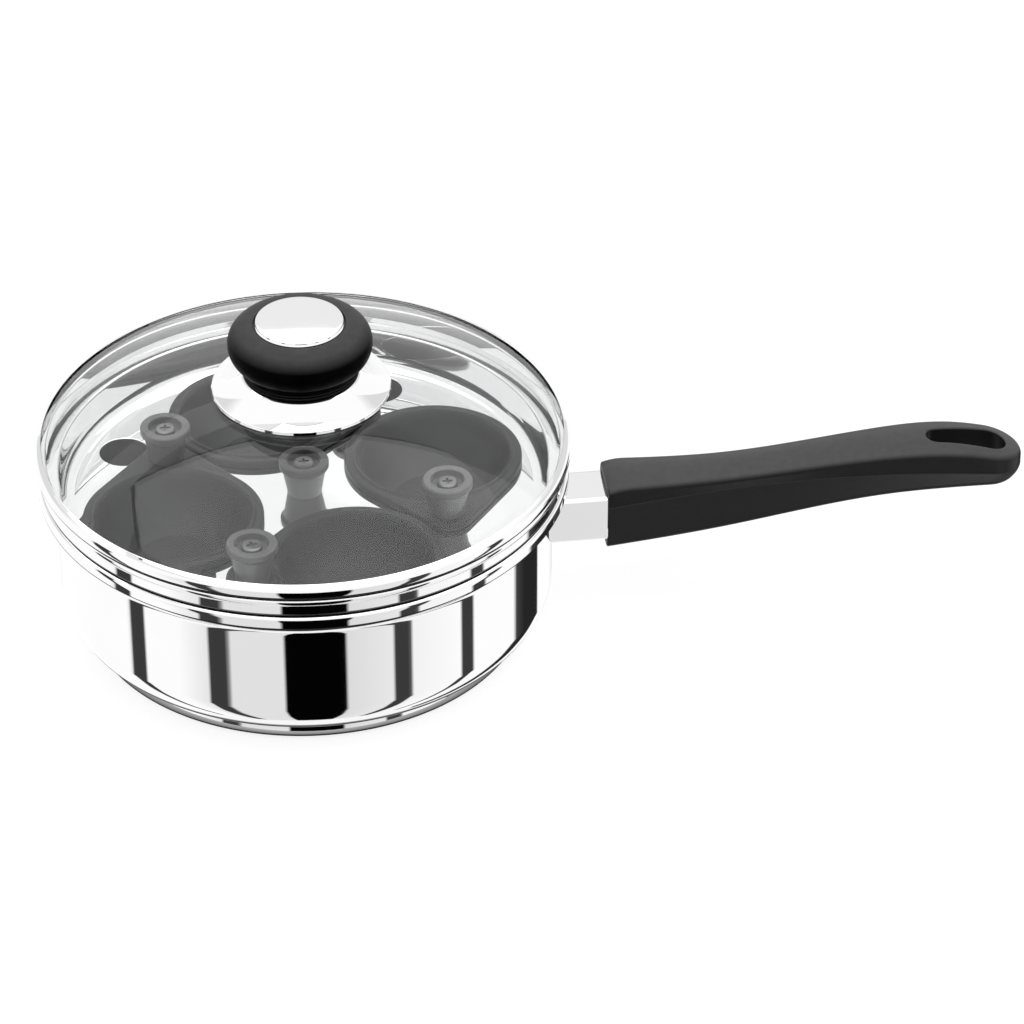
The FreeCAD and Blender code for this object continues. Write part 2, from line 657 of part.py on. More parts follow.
def make_grip():
    """The moulded grip: lofted along the handle, rounded at its end, with slot and screw bore."""
    body = new_body("handle_grip")
    start = GRIP_START
    length = size("grip_length")
    stations = (
        ("root", start),
        ("waist", start + length * size("waist_share")),
        ("rise", start + length * size("rise_share")),
        ("bow", start + length * size("bow_share")),
        ("tip", GRIP_END),
    )
    sections = [grip_section(body, name, at) for name, at in stations]
    loft = body.newObject("PartDesign::AdditiveLoft", "grip_loft")
    loft.Profile = sections[0]
    loft.Sections = sections[1:]
    above = HANDLE_AXIS + size("rise_top") + size("tip_round")
    end_round = size("tip_round")
    centre = GRIP_END - end_round
    ends = new_sketch(body, "grip_end_outline", "XZ_Plane")
    ends.setExpression("AttachmentOffset.Base.x", centre.text)
    foot = size("tip_foot")
    sole = HANDLE_AXIS + size("tip_bottom")
    below = sole - end_round
    outline(ends, [
        (foot, below), (end_round * 2, below), (end_round * 2, above), (end_round, above),
        (end_round, HANDLE_AXIS + size("tip_parting")), (foot, sole, size("tip_curve"), RIGHT),
    ])
    groove = body.newObject("PartDesign::Groove", "grip_end")
    groove.Profile = ends
    groove.ReferenceAxis = (ends, ["V_Axis"])
    groove.Angle = HALF_TURN
    groove.Midplane = True
    slot = new_sketch(body, "grip_slot_outline", "XY_Plane", above)
    slot_outer = GRIP_END - size("slot_end")
    slot_inner = slot_outer - size("slot_run")
    rounded_pair(slot, slot_inner, size("slot_inner_radius"), slot_outer, size("slot_outer_radius"))
    cut(body, "grip_slot", slot)
    gap = size("tongue_gap")
    socket = new_sketch(body, "grip_socket_section", "YZ_Plane", start)
    box_section(socket, size("tongue_width") / 2 + gap, size("tongue_thick") / 2 + gap)
    cut(body, "grip_socket", socket, size("tongue_length") + gap, up=True)
    bore = new_sketch(body, "grip_bore_outline", "XY_Plane", HANDLE_AXIS + size("handle_seat"))
    circle(bore, HANDLE_SCREW_X, 0, size("handle_washer_radius") + size("handle_bore_gap"))
    cut(body, "grip_bore", bore)
    shank_end = HANDLE_AXIS + size("tongue_thick") / 2 + size("handle_screw_tip") * 2
    shank = new_sketch(body, "grip_shank_outline", "XY_Plane", shank_end)
    circle(shank, HANDLE_SCREW_X, 0, size("handle_screw_radius") + size("screw_gap"))
    cut(body, "grip_shank", shank)


def make_handle_screw():
    """The screw that draws the grip onto the tongue, and its washer."""
    seat = HANDLE_AXIS + size("handle_seat")
    under = seat - size("handle_washer_thick")
    head = under - size("handle_head_height")
    shank = size("handle_screw_radius")
    tip = HANDLE_AXIS + size("tongue_thick") / 2 + size("handle_screw_tip")
    wide = size("handle_head_radius")
    screw = turned("handle_screw", [
        (0, head), (wide, head), (wide, under), (shank, under), (shank, tip), (0, tip),
    ])
    cross_recess(screw, "handle_screw", head, up=True)
    place(screw, HANDLE_SCREW_X, 0, 0)
    ring = washer(
        "handle_washer", shank + size("screw_gap"), size("handle_washer_radius"), under,
        size("handle_washer_thick"))
    place(ring, HANDLE_SCREW_X, 0, 0)


def make_tray():
    """The poaching tray: flat, wall, ledge on the pan's rim, and a band with a bead."""
    sheet = size("tray_sheet")
    top = TRAY_TOP
    corner = size("tray_corner")
    outer_corner = corner + sheet
    inside = TRAY_INSIDE
    band = TRAY_BAND
    bead = size("tray_bead_round")
    bead_z = BEAD_TOP - bead
    bead_start = bead_z - other_side(bead, band - BEAD_CENTRE)
    body = turned("insert_plate", [
        (0, top - sheet),
        (FLAT_RADIUS, top - sheet),
        (TRAY_WALL, top + corner, outer_corner, LEFT),
        (TRAY_WALL, LEDGE),
        (band, LEDGE),
        (band, bead_start),
        (BEAD_CENTRE + bead, bead_z, bead, LEFT),
        (BEAD_CENTRE, BEAD_TOP, bead, LEFT),
        (RIM_INSIDE, bead_z, bead, LEFT),
        (RIM_INSIDE, LEDGE + sheet),
        (inside, LEDGE + sheet),
        (inside, top + corner),
        (FLAT_RADIUS, top, corner, RIGHT),
        (0, top),
    ])
    pitch = CUP_PITCH
    angle = size("cup_angle")
    cup_hole = new_sketch(body, "cup_hole_outline", "XY_Plane", top)
    bore = BOWL_RADIUS + size("cup_sheet") + size("cup_hole_gap")
    circle(cup_hole, pitch * cosine(angle), pitch * sine(angle), bore)
    ring_of(body, "cup_hole_ring", cut(body, "cup_hole", cup_hole), cup_hole, CUP_COUNT)
    steam_hole = new_sketch(body, "steam_hole_outline", "XY_Plane", top)
    for turn in (size("steam_angle"), size("steam_angle") + QUARTER_TURN):
        reach = FLAT_RADIUS - size("steam_radius") - size("steam_edge")
        circle(steam_hole, reach * cosine(turn), reach * sine(turn), size("steam_radius"))
    cut(body, "steam_holes", steam_hole)
    screw_hole = new_sketch(body, "tray_screw_hole_outline", "XY_Plane", top)
    circle(screw_hole, 0, 0, size("knob_screw_radius") + size("screw_gap"))
    body.Tip = cut(body, "tray_screw_hole", screw_hole)


def make_cup(label):
    """An egg cup about its own centre, with its tab along +X and its seat at Z = 0."""
    body = new_body(label)
    sheet = size("cup_sheet")
    rise = size("cup_rise")
    mouth = BOWL_RADIUS
    reach = TAB_REACH
    lip = mouth + size("lip_width")
    flange = new_sketch(body, f"{label}_flange_outline", "XY_Plane")
    rounded_pair(flange, 0, CUP_RADIUS, reach, TAB_RADIUS)
    solid = pad(body, f"{label}_flange", flange, rise)
    DOC.recompute()
    rim_edges = [
        f"Edge{number}" for number, edge in enumerate(solid.Shape.Edges, start=1)
        if abs(edge.BoundBox.ZMin - rise.value) < sheet.value / 10
    ]
    rounding = body.newObject("PartDesign::Fillet", f"{label}_edge")
    rounding.Base = (solid, rim_edges)
    rounding.setExpression("Radius", size("cup_edge_round").text)
    under = new_sketch(body, f"{label}_under_outline", "XY_Plane")
    rounded_pair(under, 0, CUP_RADIUS - sheet, reach, TAB_RADIUS - sheet)
    cut(body, f"{label}_under", under, rise - sheet, up=True)
    opening = new_sketch(body, f"{label}_mouth_outline", "XY_Plane", rise)
    circle(opening, 0, 0, mouth + size("lip_width") / 2)
    cut(body, f"{label}_mouth", opening)
    screw_hole = new_sketch(body, f"{label}_screw_hole_outline", "XY_Plane", rise)
    circle(screw_hole, reach, 0, size("knob_screw_radius") + size("screw_gap"))
    cut(body, f"{label}_screw_hole", screw_hole)
    floor = rise - size("bowl_depth")
    flat = BOWL_RADIUS - size("bowl_slope")
    curve = size("bowl_curve")
    lip_top = rise + size("lip_height")
    body.Tip = add_turned(body, f"{label}_bowl", [
        (0, floor - sheet),
        (flat, floor - sheet),
        (mouth + sheet, rise - sheet, curve + sheet, LEFT),
        (lip, rise - sheet),
        (lip, rise),
        (lip - size("lip_height"), lip_top),
        (mouth + size("lip_height"), lip_top),
        (mouth, rise),
        (flat, floor, curve, RIGHT),
        (0, floor),
    ])
    return body


def make_small_knob(label):
    """A tapered knob with a collar and a recess for the screw's head, standing at Z = 0."""
    tall = size("knob_height")
    wide = size("knob_radius")
    waist = size("knob_waist_radius")
    collar = tall - size("knob_collar")
    seat = tall - size("knob_recess_depth")
    bore = size("knob_screw_radius") + size("screw_gap")
    edge = size("knob_round")
    return turned(label, [
        (bore, 0),
        (size("knob_foot_radius"), 0),
        (waist, collar - (wide - waist)),
        (wide, collar),
        (wide, tall - edge),
        (wide - edge, tall, edge, LEFT),
        (size("knob_recess_radius"), tall),
        (size("knob_recess_radius"), seat),
        (bore, seat),
    ])


def make_small_screw(label, below):
    """A knob's screw: its head in the knob's recess, its shank reaching below the knob's foot."""
    seat = size("knob_height") - size("knob_recess_depth")
    wide = size("knob_head_radius")
    shank = size("knob_screw_radius")
    head = size("knob_head_height")
    half = head / 2
    screw = turned(label, [
        (0, -below), (shank, -below), (shank, seat), (wide, seat), (wide, seat + half),
        (wide - half, seat + head, half, LEFT), (0, seat + head),
    ])
    cross_recess(screw, label, seat + head)
    return screw


def make_nut(label, height):
    """A hexagon nut that stands at Z = 0."""
    blank = DOC.addObject("Part::Prism", f"{label}_blank")
    blank.Polygon = 6
    blank.setExpression("Circumradius", (size("nut_flats") / root(as_dim(3))).text)
    blank.setExpression("Height", height.text)
    bore = DOC.addObject("Part::Cylinder", f"{label}_bore")
    bore.setExpression("Radius", (size("knob_screw_radius") + size("thread_gap")).text)
    bore.setExpression("Height", height.text)
    nut = DOC.addObject("Part::Cut", label)
    nut.Label = label
    nut.Base = blank
    nut.Tool = bore
    PIECES.append(nut)
    return nut


def make_tray_knob():
    """The knob that lifts the tray, its screw and its nut."""
    top = TRAY_TOP
    under = top - size("tray_sheet") - size("nut_height")
    place(make_small_knob("insert_knob"), 0, 0, top)
    screw = make_small_screw("insert_knob_screw", size("tray_sheet") + size("nut_height"))
    place(screw, 0, 0, top)
    place(make_nut("insert_knob_nut", size("nut_height")), 0, 0, under)


def make_cups():
    """The egg cups, each with its knob, screw and thin nut, evenly round the tray."""
    nut_height = size("cup_rise") - size("cup_sheet") - size("nut_gap")
    swings = {3: size("cup_3_swing"), 4: size("cup_4_swing")}
    for number in range(CUP_COUNT):
        angle = size("cup_angle") + number * FULL_TURN / CUP_COUNT
        name = number + 1
        tab_angle = angle - size("tab_turn")
        if name in swings:
            tab_angle = tab_angle + swings[name]
        x = CUP_PITCH * cosine(angle)
        y = CUP_PITCH * sine(angle)
        knob_x = x + TAB_REACH * cosine(tab_angle)
        knob_y = y + TAB_REACH * sine(tab_angle)
        place(make_cup(f"egg_cup_{name}"), x, y, CUP_SEAT, tab_angle)
        place(make_small_knob(f"cup_knob_{name}"), knob_x, knob_y, CUP_TOP)
        screw = make_small_screw(f"cup_knob_screw_{name}", size("cup_sheet") + nut_height)
        place(screw, knob_x, knob_y, CUP_TOP, tab_angle)
        nut = make_nut(f"cup_knob_nut_{name}", nut_height)
        place(nut, knob_x, knob_y, CUP_TOP - size("cup_sheet") - nut_height, tab_angle)


def make_glass():
    """The domed glass, with a hole for the knob's screw."""
    hole = GASKET_BORE
    turned("lid_glass", [
        (hole, glass_under(hole), GLASS_INNER, LEFT),
        (hole, glass_top(hole)),
        (GLASS_RADIUS, glass_top(GLASS_RADIUS), size("dome_radius"), RIGHT),
        (GLASS_RADIUS, glass_under(GLASS_RADIUS)),
    ])


def make_lid_rim():
    """The steel band round the glass, with a lip above, a floor below and a locating skirt."""
    sheet = size("lid_sheet")
    outer = LID_RADIUS
    inner = outer - sheet
    edge = size("band_round")
    tip = outer - size("band_cover")
    tip_under = glass_top(tip) + size("glass_gap")
    shoulder = glass_top(inner) + size("glass_gap")
    skirt = RIM_INSIDE - size("lid_skirt_gap")
    hem = BAND_BOTTOM - size("lid_skirt_depth")
    turned("lid_rim", [
        (skirt - sheet, hem),
        (skirt, hem),
        (skirt, BAND_BOTTOM),
        (outer - edge, BAND_BOTTOM),
        (outer, BAND_BOTTOM + edge, edge, LEFT),
        (outer, shoulder),
        (inner, shoulder + sheet, sheet, LEFT),
        (tip, tip_under + sheet),
        (tip, tip_under),
        (inner, shoulder),
        (inner, BAND_BOTTOM + edge),
        (outer - edge, BAND_FLOOR, edge - sheet, RIGHT),
        (skirt - sheet, BAND_FLOOR),
    ])


def make_lid_flange():
    """The chrome splash flange: flat under the knob, then hollow down to a turned-down edge."""
    sheet = size("lid_sheet")
    outer = size("flange_radius")
    bore = size("lid_screw_radius") + size("screw_gap")
    neck = size("lid_knob_neck")
    curve = size("flange_curve")
    edge_bottom = glass_top(outer) + size("flange_lift")
    edge_top = edge_bottom + size("flange_edge")
    turned("lid_flange", [
        (bore, FLANGE_UNDER),
        (neck, FLANGE_UNDER),
        (outer - sheet, edge_top - sheet, curve + sheet, LEFT),
        (outer - sheet, edge_bottom),
        (outer, edge_bottom),
        (outer, edge_top - sheet),
        (outer - sheet, edge_top, sheet, LEFT),
        (neck + sheet, FLANGE_TOP, curve, RIGHT),
        (bore, FLANGE_TOP),
    ])


def make_lid_knob():
    """The mushroom knob, hollowed for its inlay and for the threaded insert."""
    foot = FLANGE_TOP
    neck = size("lid_knob_neck")
    neck_top = foot + size("lid_neck_height")
    widest = foot + size("lid_knob_widest")
    top = foot + size("lid_knob_height")
    pocket = size("inlay_radius") + size("inlay_fit")
    seat = top - size("inlay_thick")
    bore = size("insert_radius") + size("inlay_fit")
    bore_top = foot + size("insert_length")
    turned("lid_knob", [
        (bore, foot),
        (neck, foot),
        (size("lid_knob_collar"), neck_top),
        (size("lid_knob_radius"), widest, size("lid_knob_under"), LEFT),
        (pocket, top - size("inlay_proud"), size("lid_knob_dome"), LEFT),
        (pocket, seat),
        (0, seat),
        (0, bore_top),
        (bore, bore_top),
    ])
    turned("lid_knob_inlay", [
        (0, seat), (size("inlay_radius"), seat), (size("inlay_radius"), top), (0, top),
    ])


def make_lid_fixing():
    """What clamps the knob to the glass: insert, silicone rings, washer and screw."""
    shank = size("lid_screw_radius")
    lower = size("lower_gasket_radius")
    washer(
        "lid_knob_insert", shank + size("thread_gap"), size("insert_radius"), FLANGE_TOP,
        size("insert_length"))
    washer("lid_gasket_upper", GASKET_BORE, size("gasket_radius"), GASKET_BOTTOM, size("gasket_thick"))
    gasket = glass_under(lower) - size("lower_gasket_thick")
    washer("lid_gasket_lower", GASKET_BORE, lower, gasket, size("lower_gasket_thick"))
    under = gasket - size("lid_washer_thick")
    washer(
        "lid_washer", shank + size("screw_gap"), size("lid_washer_radius"), under,
        size("lid_washer_thick"))
    head = under - size("lid_head_height")
    tip = FLANGE_TOP + size("lid_screw_grip")
    wide = size("lid_head_radius")
    screw = turned("lid_screw", [
        (0, head), (wide, head), (wide, under), (shank, under), (shank, tip), (0, tip),
    ])
    cross_recess(screw, "lid_screw", head, up=True)


def check_document():
    """Stops if any object failed, or any piece is not a valid solid."""
    for item in DOC.Objects:
        if "Invalid" in item.State or "Error" in item.State:
            raise RuntimeError(f"{item.Name} failed: {item.State}")
    for piece in PIECES:
        if piece.Shape.isNull() or not piece.Shape.isValid() or not piece.Shape.Solids:
            raise RuntimeError(f"{piece.Label} is not a valid solid")


def write_pieces():
    """Writes each piece to a file of its own."""
    os.makedirs("parts", exist_ok=True)
    for piece in PIECES:
        piece.Shape.exportStep(f"parts/{piece.Label}.step")
        print(f"{piece.Label}: {len(piece.Shape.Solids)} solid, {piece.Shape.Volume:.1f} cubic mm")


make_pan_body()
make_base()
make_bracket()
make_ferrule()
make_grip()
make_handle_screw()
make_tray()
make_tray_knob()
make_cups()
make_glass()
make_lid_rim()
make_lid_flange()
make_lid_knob()
make_lid_fixing()
DOC.recompute()
check_document()
write_pieces()
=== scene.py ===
"""Egg poacher pan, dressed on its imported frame.

The pan stands on Z = 0 with its axis on Z, and the handle points along +X. Sizes are in
millimetres, and become metres when a mesh is made.
"""

import json
import logging
import math
from collections.abc import Callable
from dataclasses import dataclass
from enum import Enum

import bmesh
import bpy
import numpy as np
from mathutils import Matrix
from mathutils import Vector
from mathutils.geometry import delaunay_2d_cdt

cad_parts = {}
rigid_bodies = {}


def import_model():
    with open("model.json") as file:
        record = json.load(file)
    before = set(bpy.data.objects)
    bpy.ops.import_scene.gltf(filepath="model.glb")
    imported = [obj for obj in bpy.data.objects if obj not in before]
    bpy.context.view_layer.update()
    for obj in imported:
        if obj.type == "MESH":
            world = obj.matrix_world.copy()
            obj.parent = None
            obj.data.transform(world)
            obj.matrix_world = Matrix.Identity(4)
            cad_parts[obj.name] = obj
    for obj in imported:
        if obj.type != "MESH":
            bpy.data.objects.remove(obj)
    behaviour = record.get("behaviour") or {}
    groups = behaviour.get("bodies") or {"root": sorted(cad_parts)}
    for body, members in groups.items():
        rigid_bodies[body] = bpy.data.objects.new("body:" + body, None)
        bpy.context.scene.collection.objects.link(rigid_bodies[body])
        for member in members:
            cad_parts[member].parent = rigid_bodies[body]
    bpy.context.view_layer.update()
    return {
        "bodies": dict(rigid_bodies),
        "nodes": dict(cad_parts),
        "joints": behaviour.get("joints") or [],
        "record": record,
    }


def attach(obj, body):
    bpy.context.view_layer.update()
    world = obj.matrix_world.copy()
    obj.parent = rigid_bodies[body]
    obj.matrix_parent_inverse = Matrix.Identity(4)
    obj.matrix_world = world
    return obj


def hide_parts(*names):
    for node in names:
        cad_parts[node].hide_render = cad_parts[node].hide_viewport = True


Array = np.ndarray
Tree = bpy.types.NodeTree
Socket = bpy.types.NodeSocket
Floats = tuple[float, ...]
Pair = tuple[float, float]
Triple = tuple[float, float, float]
Colour = tuple[float, float, float, float]

LOG = logging.getLogger("poacher_pan")
MM = 0.001
FULL_TURN = 2 * math.pi
QUARTER_TURN = math.pi / 2
WELD = 1e-6
SUPPORT = 0.25
WIDEST_SUPPORT_SHARE = 0.25
ARC_STEP = math.radians(9)
LARGE_ROUND = 384
MIDDLE_ROUND = 256
HOLE_ROUND = 160
SMALL_ROUND = 128
TRIANGLES_INSIDE = 1
CUP_COUNT = 4
BLACK = (0.0, 0.0, 0.0, 1.0)
WHITE = (1.0, 1.0, 1.0, 1.0)
LEVEL_PLANE = (1.0, 1.0, 0.0)
NOISE_LOW = 0.3
NOISE_HIGH = 0.7
MARK_DEPTH = 0.00002
GRAIN_DEPTH = 0.0001
FACING = 0.5
LEANING = 0.3
EDGE_ON = 0.01


class Bend(Enum):
    """Which way an arc of a section turns from its start."""

    LEFT = 1
    RIGHT = -1


class Slot(Enum):
    """The material slots of the part's record."""

    STEEL = "polished_steel"
    CORE = "core_aluminium"
    FIXING = "fixing_steel"
    BRASS = "insert_brass"
    SILICONE = "silicone"
    PHENOLIC = "black_phenolic"
    NON_STICK = "non_stick"
    GLASS = "clear_glass"


class Look(Enum):
    """Finishes that a slot has beside its usual one."""

    TIPPED_STEEL = "tipped_steel"
    SATIN_STEEL = "satin_steel"
    PAINTED_SHADE_STEEL = "shaded_steel"
    PAINTED_SEAM_SHADE = "shaded_seam"
    KNOB_PHENOLIC = "knob_phenolic"
    LID_PHENOLIC = "lid_phenolic"
    PAINTED_SHADE_SCREW = "knob_screw"


@dataclass(frozen=True)
class Corner:
    """A corner of a section, reached by a straight run, or by an arc where radius is given."""

    across: float
    height: float
    soft: float = 0.0
    radius: float = 0.0
    bend: Bend = Bend.LEFT

    @property
    def at(self) -> Array:
        """The corner as a point."""
        return np.array([self.across, self.height])


def directions(angle: float | Array) -> Array:
    """Unit vectors in plan at some angles: the cosine and the sine."""
    return np.stack((np.cos(angle), np.sin(angle)), axis=-1)


def arc_points(start: Array, end: Array, radius: float, bend: Bend) -> Array:
    """The arc of under a half turn between two points.

    The centre stands off the chord's middle by the root of radius squared less half the chord
    squared, and the points turn evenly about it.

    Args:
        start: First point.
        end: Last point.
        radius: Radius of the arc.
        bend: Side that the arc turns to.

    Returns:
        Points with both ends, as an array of pairs.
    """
    chord = end - start
    length = np.hypot(*chord)
    aside = np.array([-chord[1], chord[0]]) / length
    stand_off = math.sqrt(max(radius * radius - length * length / 4, 0.0))
    centre = (start + end) / 2 + aside * stand_off * bend.value
    first = math.atan2(*(start - centre)[::-1])
    sweep = 2 * math.asin(min(length / (2 * radius), 1.0)) * bend.value
    steps = max(2, math.ceil(abs(sweep) / ARC_STEP))
    angle = first + sweep * np.arange(steps + 1) / steps
    return centre + radius * directions(angle)


def straight_points(start: Array, end: Array) -> Array:
    """A straight run with a close row at each end, so that shading stays flat between them.

    Args:
        start: First point.
        end: Last point.

    Returns:
        The points of the run, start and end among them.
    """
    length = max(np.hypot(*(end - start)), WELD)
    margin = min(SUPPORT / length, WIDEST_SUPPORT_SHARE)
    share = np.array([0.0, margin, 1 - margin, 1.0])
    return start + share[:, None] * (end - start)


def softened(before: Array, corner: Corner, after: Array) -> Array:
    """A corner between two straight runs, rounded by an arc tangent to both.

    Args:
        before: Point that the first run comes from.
        corner: The corner.
        after: Point that the second run goes to.

    Returns:
        The arc's points, or the corner alone where it stays sharp.
    """
    if corner.soft <= 0:
        return corner.at[None, :]
    way_in = (corner.at - before) / np.hypot(*(corner.at - before))
    way_out = (after - corner.at) / np.hypot(*(after - corner.at))
    cross = way_in[0] * way_out[1] - way_in[1] * way_out[0]
    turn = math.atan2(abs(cross), float(way_in @ way_out))
    trim = corner.soft * math.tan(turn / 2)
    bend = Bend.LEFT if cross > 0 else Bend.RIGHT
    return arc_points(corner.at - way_in * trim, corner.at + way_out * trim, corner.soft, bend)


def section(corners: list[Corner], closed: bool = False) -> Array:
    """Dense points along a section of straight runs, arcs and softened corners.

    Args:
        corners: Corners in order.
        closed: Whether the last corner leads back to the first.

    Returns:
        Points as an array of pairs; a closed section doesn't repeat its first point.
    """
    count = len(corners)
    stops = []
    for index, corner in enumerate(corners):
        inner = closed or 0 < index < count - 1
        before = corners[index - 1].at
        after = corners[(index + 1) % count].at
        stops.append(softened(before, corner, after) if inner else corner.at[None, :])
    runs = [stops[0]]
    for index in range(1, count + 1 if closed else count):
        corner = corners[index % count]
        stop = stops[index % count]
        if corner.radius > 0:
            runs.append(arc_points(stops[index - 1][-1], stop[0], corner.radius, corner.bend))
        else:
            runs.append(straight_points(stops[index - 1][-1], stop[0]))
        runs.append(stop)
    points = np.concatenate(runs)
    apart = np.hypot(*(points - np.roll(points, 1, axis=0)).T) > WELD
    apart[0] = apart[0] if closed else True
    return points[apart]


def spin(rows: Array, segments: int, centre: Pair | Array = (0.0, 0.0)) -> Array:
    """A turned surface: each row's radius swept round an upright axis at the row's height.

    Args:
        rows: Pairs of radius and height.
        segments: Columns in the full turn.
        centre: Where the axis stands.

    Returns:
        Grid of points, rows by columns by three.
    """
    angle = np.arange(segments) * FULL_TURN / segments
    x = centre[0] + rows[:, :1] * np.cos(angle)
    y = centre[1] + rows[:, :1] * np.sin(angle)
    z = np.broadcast_to(rows[:, 1:], x.shape)
    return np.stack((x, y, z), axis=-1)


def belt(reach: float, first: float, second: float, count: int) -> tuple[Array, Array]:
    """A belt drawn tight round two circles on the X axis, one at zero and one at reach.

    The direction square to the belt turns on the circles and rests on the straights, so that the
    point is the centre plus radius times that direction, with both running evenly on a straight.

    Args:
        reach: Distance between the circles.
        first: Radius of the circle at zero.
        second: Radius of the circle at reach.
        count: Points round the belt.

    Returns:
        Points, and outward directions at them, each as an array of pairs.
    """
    lean = math.acos((first - second) / reach)
    side = math.sqrt(reach * reach - (first - second) ** 2)
    lengths = np.array([0.0, 2 * lean * second, side, 2 * (math.pi - lean) * first, side])
    marks = np.cumsum(lengths)
    along = np.arange(count) * marks[-1] / count
    turn = np.interp(along, marks, [-lean, lean, lean, FULL_TURN - lean, FULL_TURN - lean])
    share = np.interp(along, marks, [1.0, 1.0, 0.0, 0.0, 1.0])
    outward = directions(turn)
    centre = np.stack((share * reach, np.zeros(count)), axis=-1)
    radius = first + (second - first) * share
    return centre + outward * radius[:, None], outward


def smooth_through(knots: Array, values: Array, x: Array) -> Array:
    """The natural cubic spline through a few knots.

    Second slopes at the knots solve the usual band of equations, with none at the two ends, and
    each span is the straight line plus two cubic terms weighted by them.

    Args:
        knots: Places of the knots, rising.
        values: Values there.
        x: Where the spline is wanted.

    Returns:
        Values at x.
    """
    gap = np.diff(knots)
    count = len(knots)
    band = np.eye(count)
    pull = np.zeros(count)
    inner = np.arange(1, count - 1)
    band[inner, inner - 1] = gap[:-1]
    band[inner, inner] = 2 * (gap[:-1] + gap[1:])
    band[inner, inner + 1] = gap[1:]
    slope = np.diff(values) / gap
    pull[inner] = 6 * np.diff(slope)
    second = np.linalg.solve(band, pull)
    span = np.clip(np.searchsorted(knots, x) - 1, 0, count - 2)
    width = gap[span]
    right = (x - knots[span]) / width
    left = 1 - right
    cubic = (left**3 - left) * second[span] + (right**3 - right) * second[span + 1]
    return left * values[span] + right * values[span + 1] + cubic * width * width / 6


def within(pairs: Array, loop: Array) -> Array:
    """Which points lie inside a closed loop: a ray to the right crosses it an odd number of times.

    Args:
        pairs: The points.
        loop: The loop's corners.

    Returns:
        True for each point inside.
    """
    x, y = pairs.T[:, :, None]
    x_from, y_from = loop.T
    x_to, y_to = np.roll(loop, -1, axis=0).T
    crosses = (y_from > y) != (y_to > y)
    rise = np.where(y_to == y_from, 1.0, y_to - y_from)
    meets = x_from + (y - y_from) * (x_to - x_from) / rise
    return (crosses & (x < meets)).sum(axis=1) % 2 == 1


class Skin:
    """Gathers grids and flat sheets of one piece, in millimetres, and makes its mesh."""

    def __init__(self) -> None:
        """Starts with no surface."""
        self.points: list[Array] = []
        self.faces: list[list[int]] = []
        self.count = 0

    def grid(self, points: Array, ring: bool = True, loop: bool = False) -> "Skin":
        """Adds a grid of points as quads.

        Args:
            points: Rows by columns by three.
            ring: Whether the last column joins the first.
            loop: Whether the last row joins the first.

        Returns:
            The skin itself.
        """
        rows, columns = points.shape[:2]
        index = np.arange(rows * columns).reshape(rows, columns) + self.count
        if loop:
            index = np.concatenate((index, index[:1]))
        if ring:
            index = np.concatenate((index, index[:, :1]), axis=1)
        quads = np.stack((index[:-1, :-1], index[:-1, 1:], index[1:, 1:], index[1:, :-1]), axis=-1)
        self.points.append(points.reshape(-1, 3))
        self.faces.extend(quads.reshape(-1, 4).tolist())
        self.count += rows * columns
        return self

    def sheet(
        self, loops: list[Array], lift: Callable[[Array], Array], inside: Array | None = None,
    ) -> "Skin":
        """Adds a sheet between an outer loop and its holes, filled with triangles.

        Args:
            loops: Closed loops of pairs, the outer one first.
            lift: Gives the three coordinates of an array of pairs.
            inside: Free points of the sheet, as pairs.

        Returns:
            The skin itself.
        """
        pairs = np.concatenate(loops if inside is None else [*loops, inside])
        edges = []
        start = 0
        for loop in loops:
            index = np.arange(len(loop)) + start
            edges.append(np.stack((index, np.roll(index, -1)), axis=-1))
            start += len(loop)
        corners = [Vector(pair) for pair in pairs.tolist()]
        sides = np.concatenate(edges).tolist()
        filled = delaunay_2d_cdt(corners, sides, [], TRIANGLES_INSIDE, WELD)
        flat = np.array([tuple(point) for point in filled[0]])
        triangles = np.array(filled[2])
        middles = flat[triangles].mean(axis=1)
        keep = within(middles, loops[0])
        for hole in loops[1:]:
            keep &= ~within(middles, hole)
        self.points.append(lift(flat))
        self.faces.extend((triangles[keep] + self.count).tolist())
        self.count += len(flat)
        return self

    def make(self, name: str, crease: float = 30.0) -> bpy.types.Object:
        """Makes the piece: welds its seams and poles, turns its faces outward and smooths it.

        Args:
            name: Name of the piece.
            crease: Edges sharper than this many degrees stay crisp.

        Returns:
            The new object, at the origin.
        """
        mesh = bpy.data.meshes.new(name)
        mesh.from_pydata(np.concatenate(self.points) * MM, [], self.faces)
        form = bmesh.new()
        form.from_mesh(mesh)
        bmesh.ops.remove_doubles(form, verts=form.verts, dist=WELD)
        bmesh.ops.recalc_face_normals(form, faces=form.faces)
        form.to_mesh(mesh)
        form.free()
        mesh.shade_smooth()
        mesh.set_sharp_from_angle(angle=math.radians(crease))
        piece = bpy.data.objects.new(name, mesh)
        bpy.context.scene.collection.objects.link(piece)
        return piece


def turned_piece(
    name: str, corners: list[Corner], closed: bool, segments: int = LARGE_ROUND,
    centre: Pair = (0.0, 0.0),
) -> bpy.types.Object:
    """A piece turned about an upright axis.

    Args:
        name: Name of the piece.
        corners: Its section as radius and height.
        closed: True for a ring, False where the section starts and ends on the axis.
        segments: Columns in the full turn.
        centre: Where the axis stands.

    Returns:
        The new object.
    """
    grid = spin(section(corners, closed), segments, centre)
    return Skin().grid(grid, loop=closed).make(name)


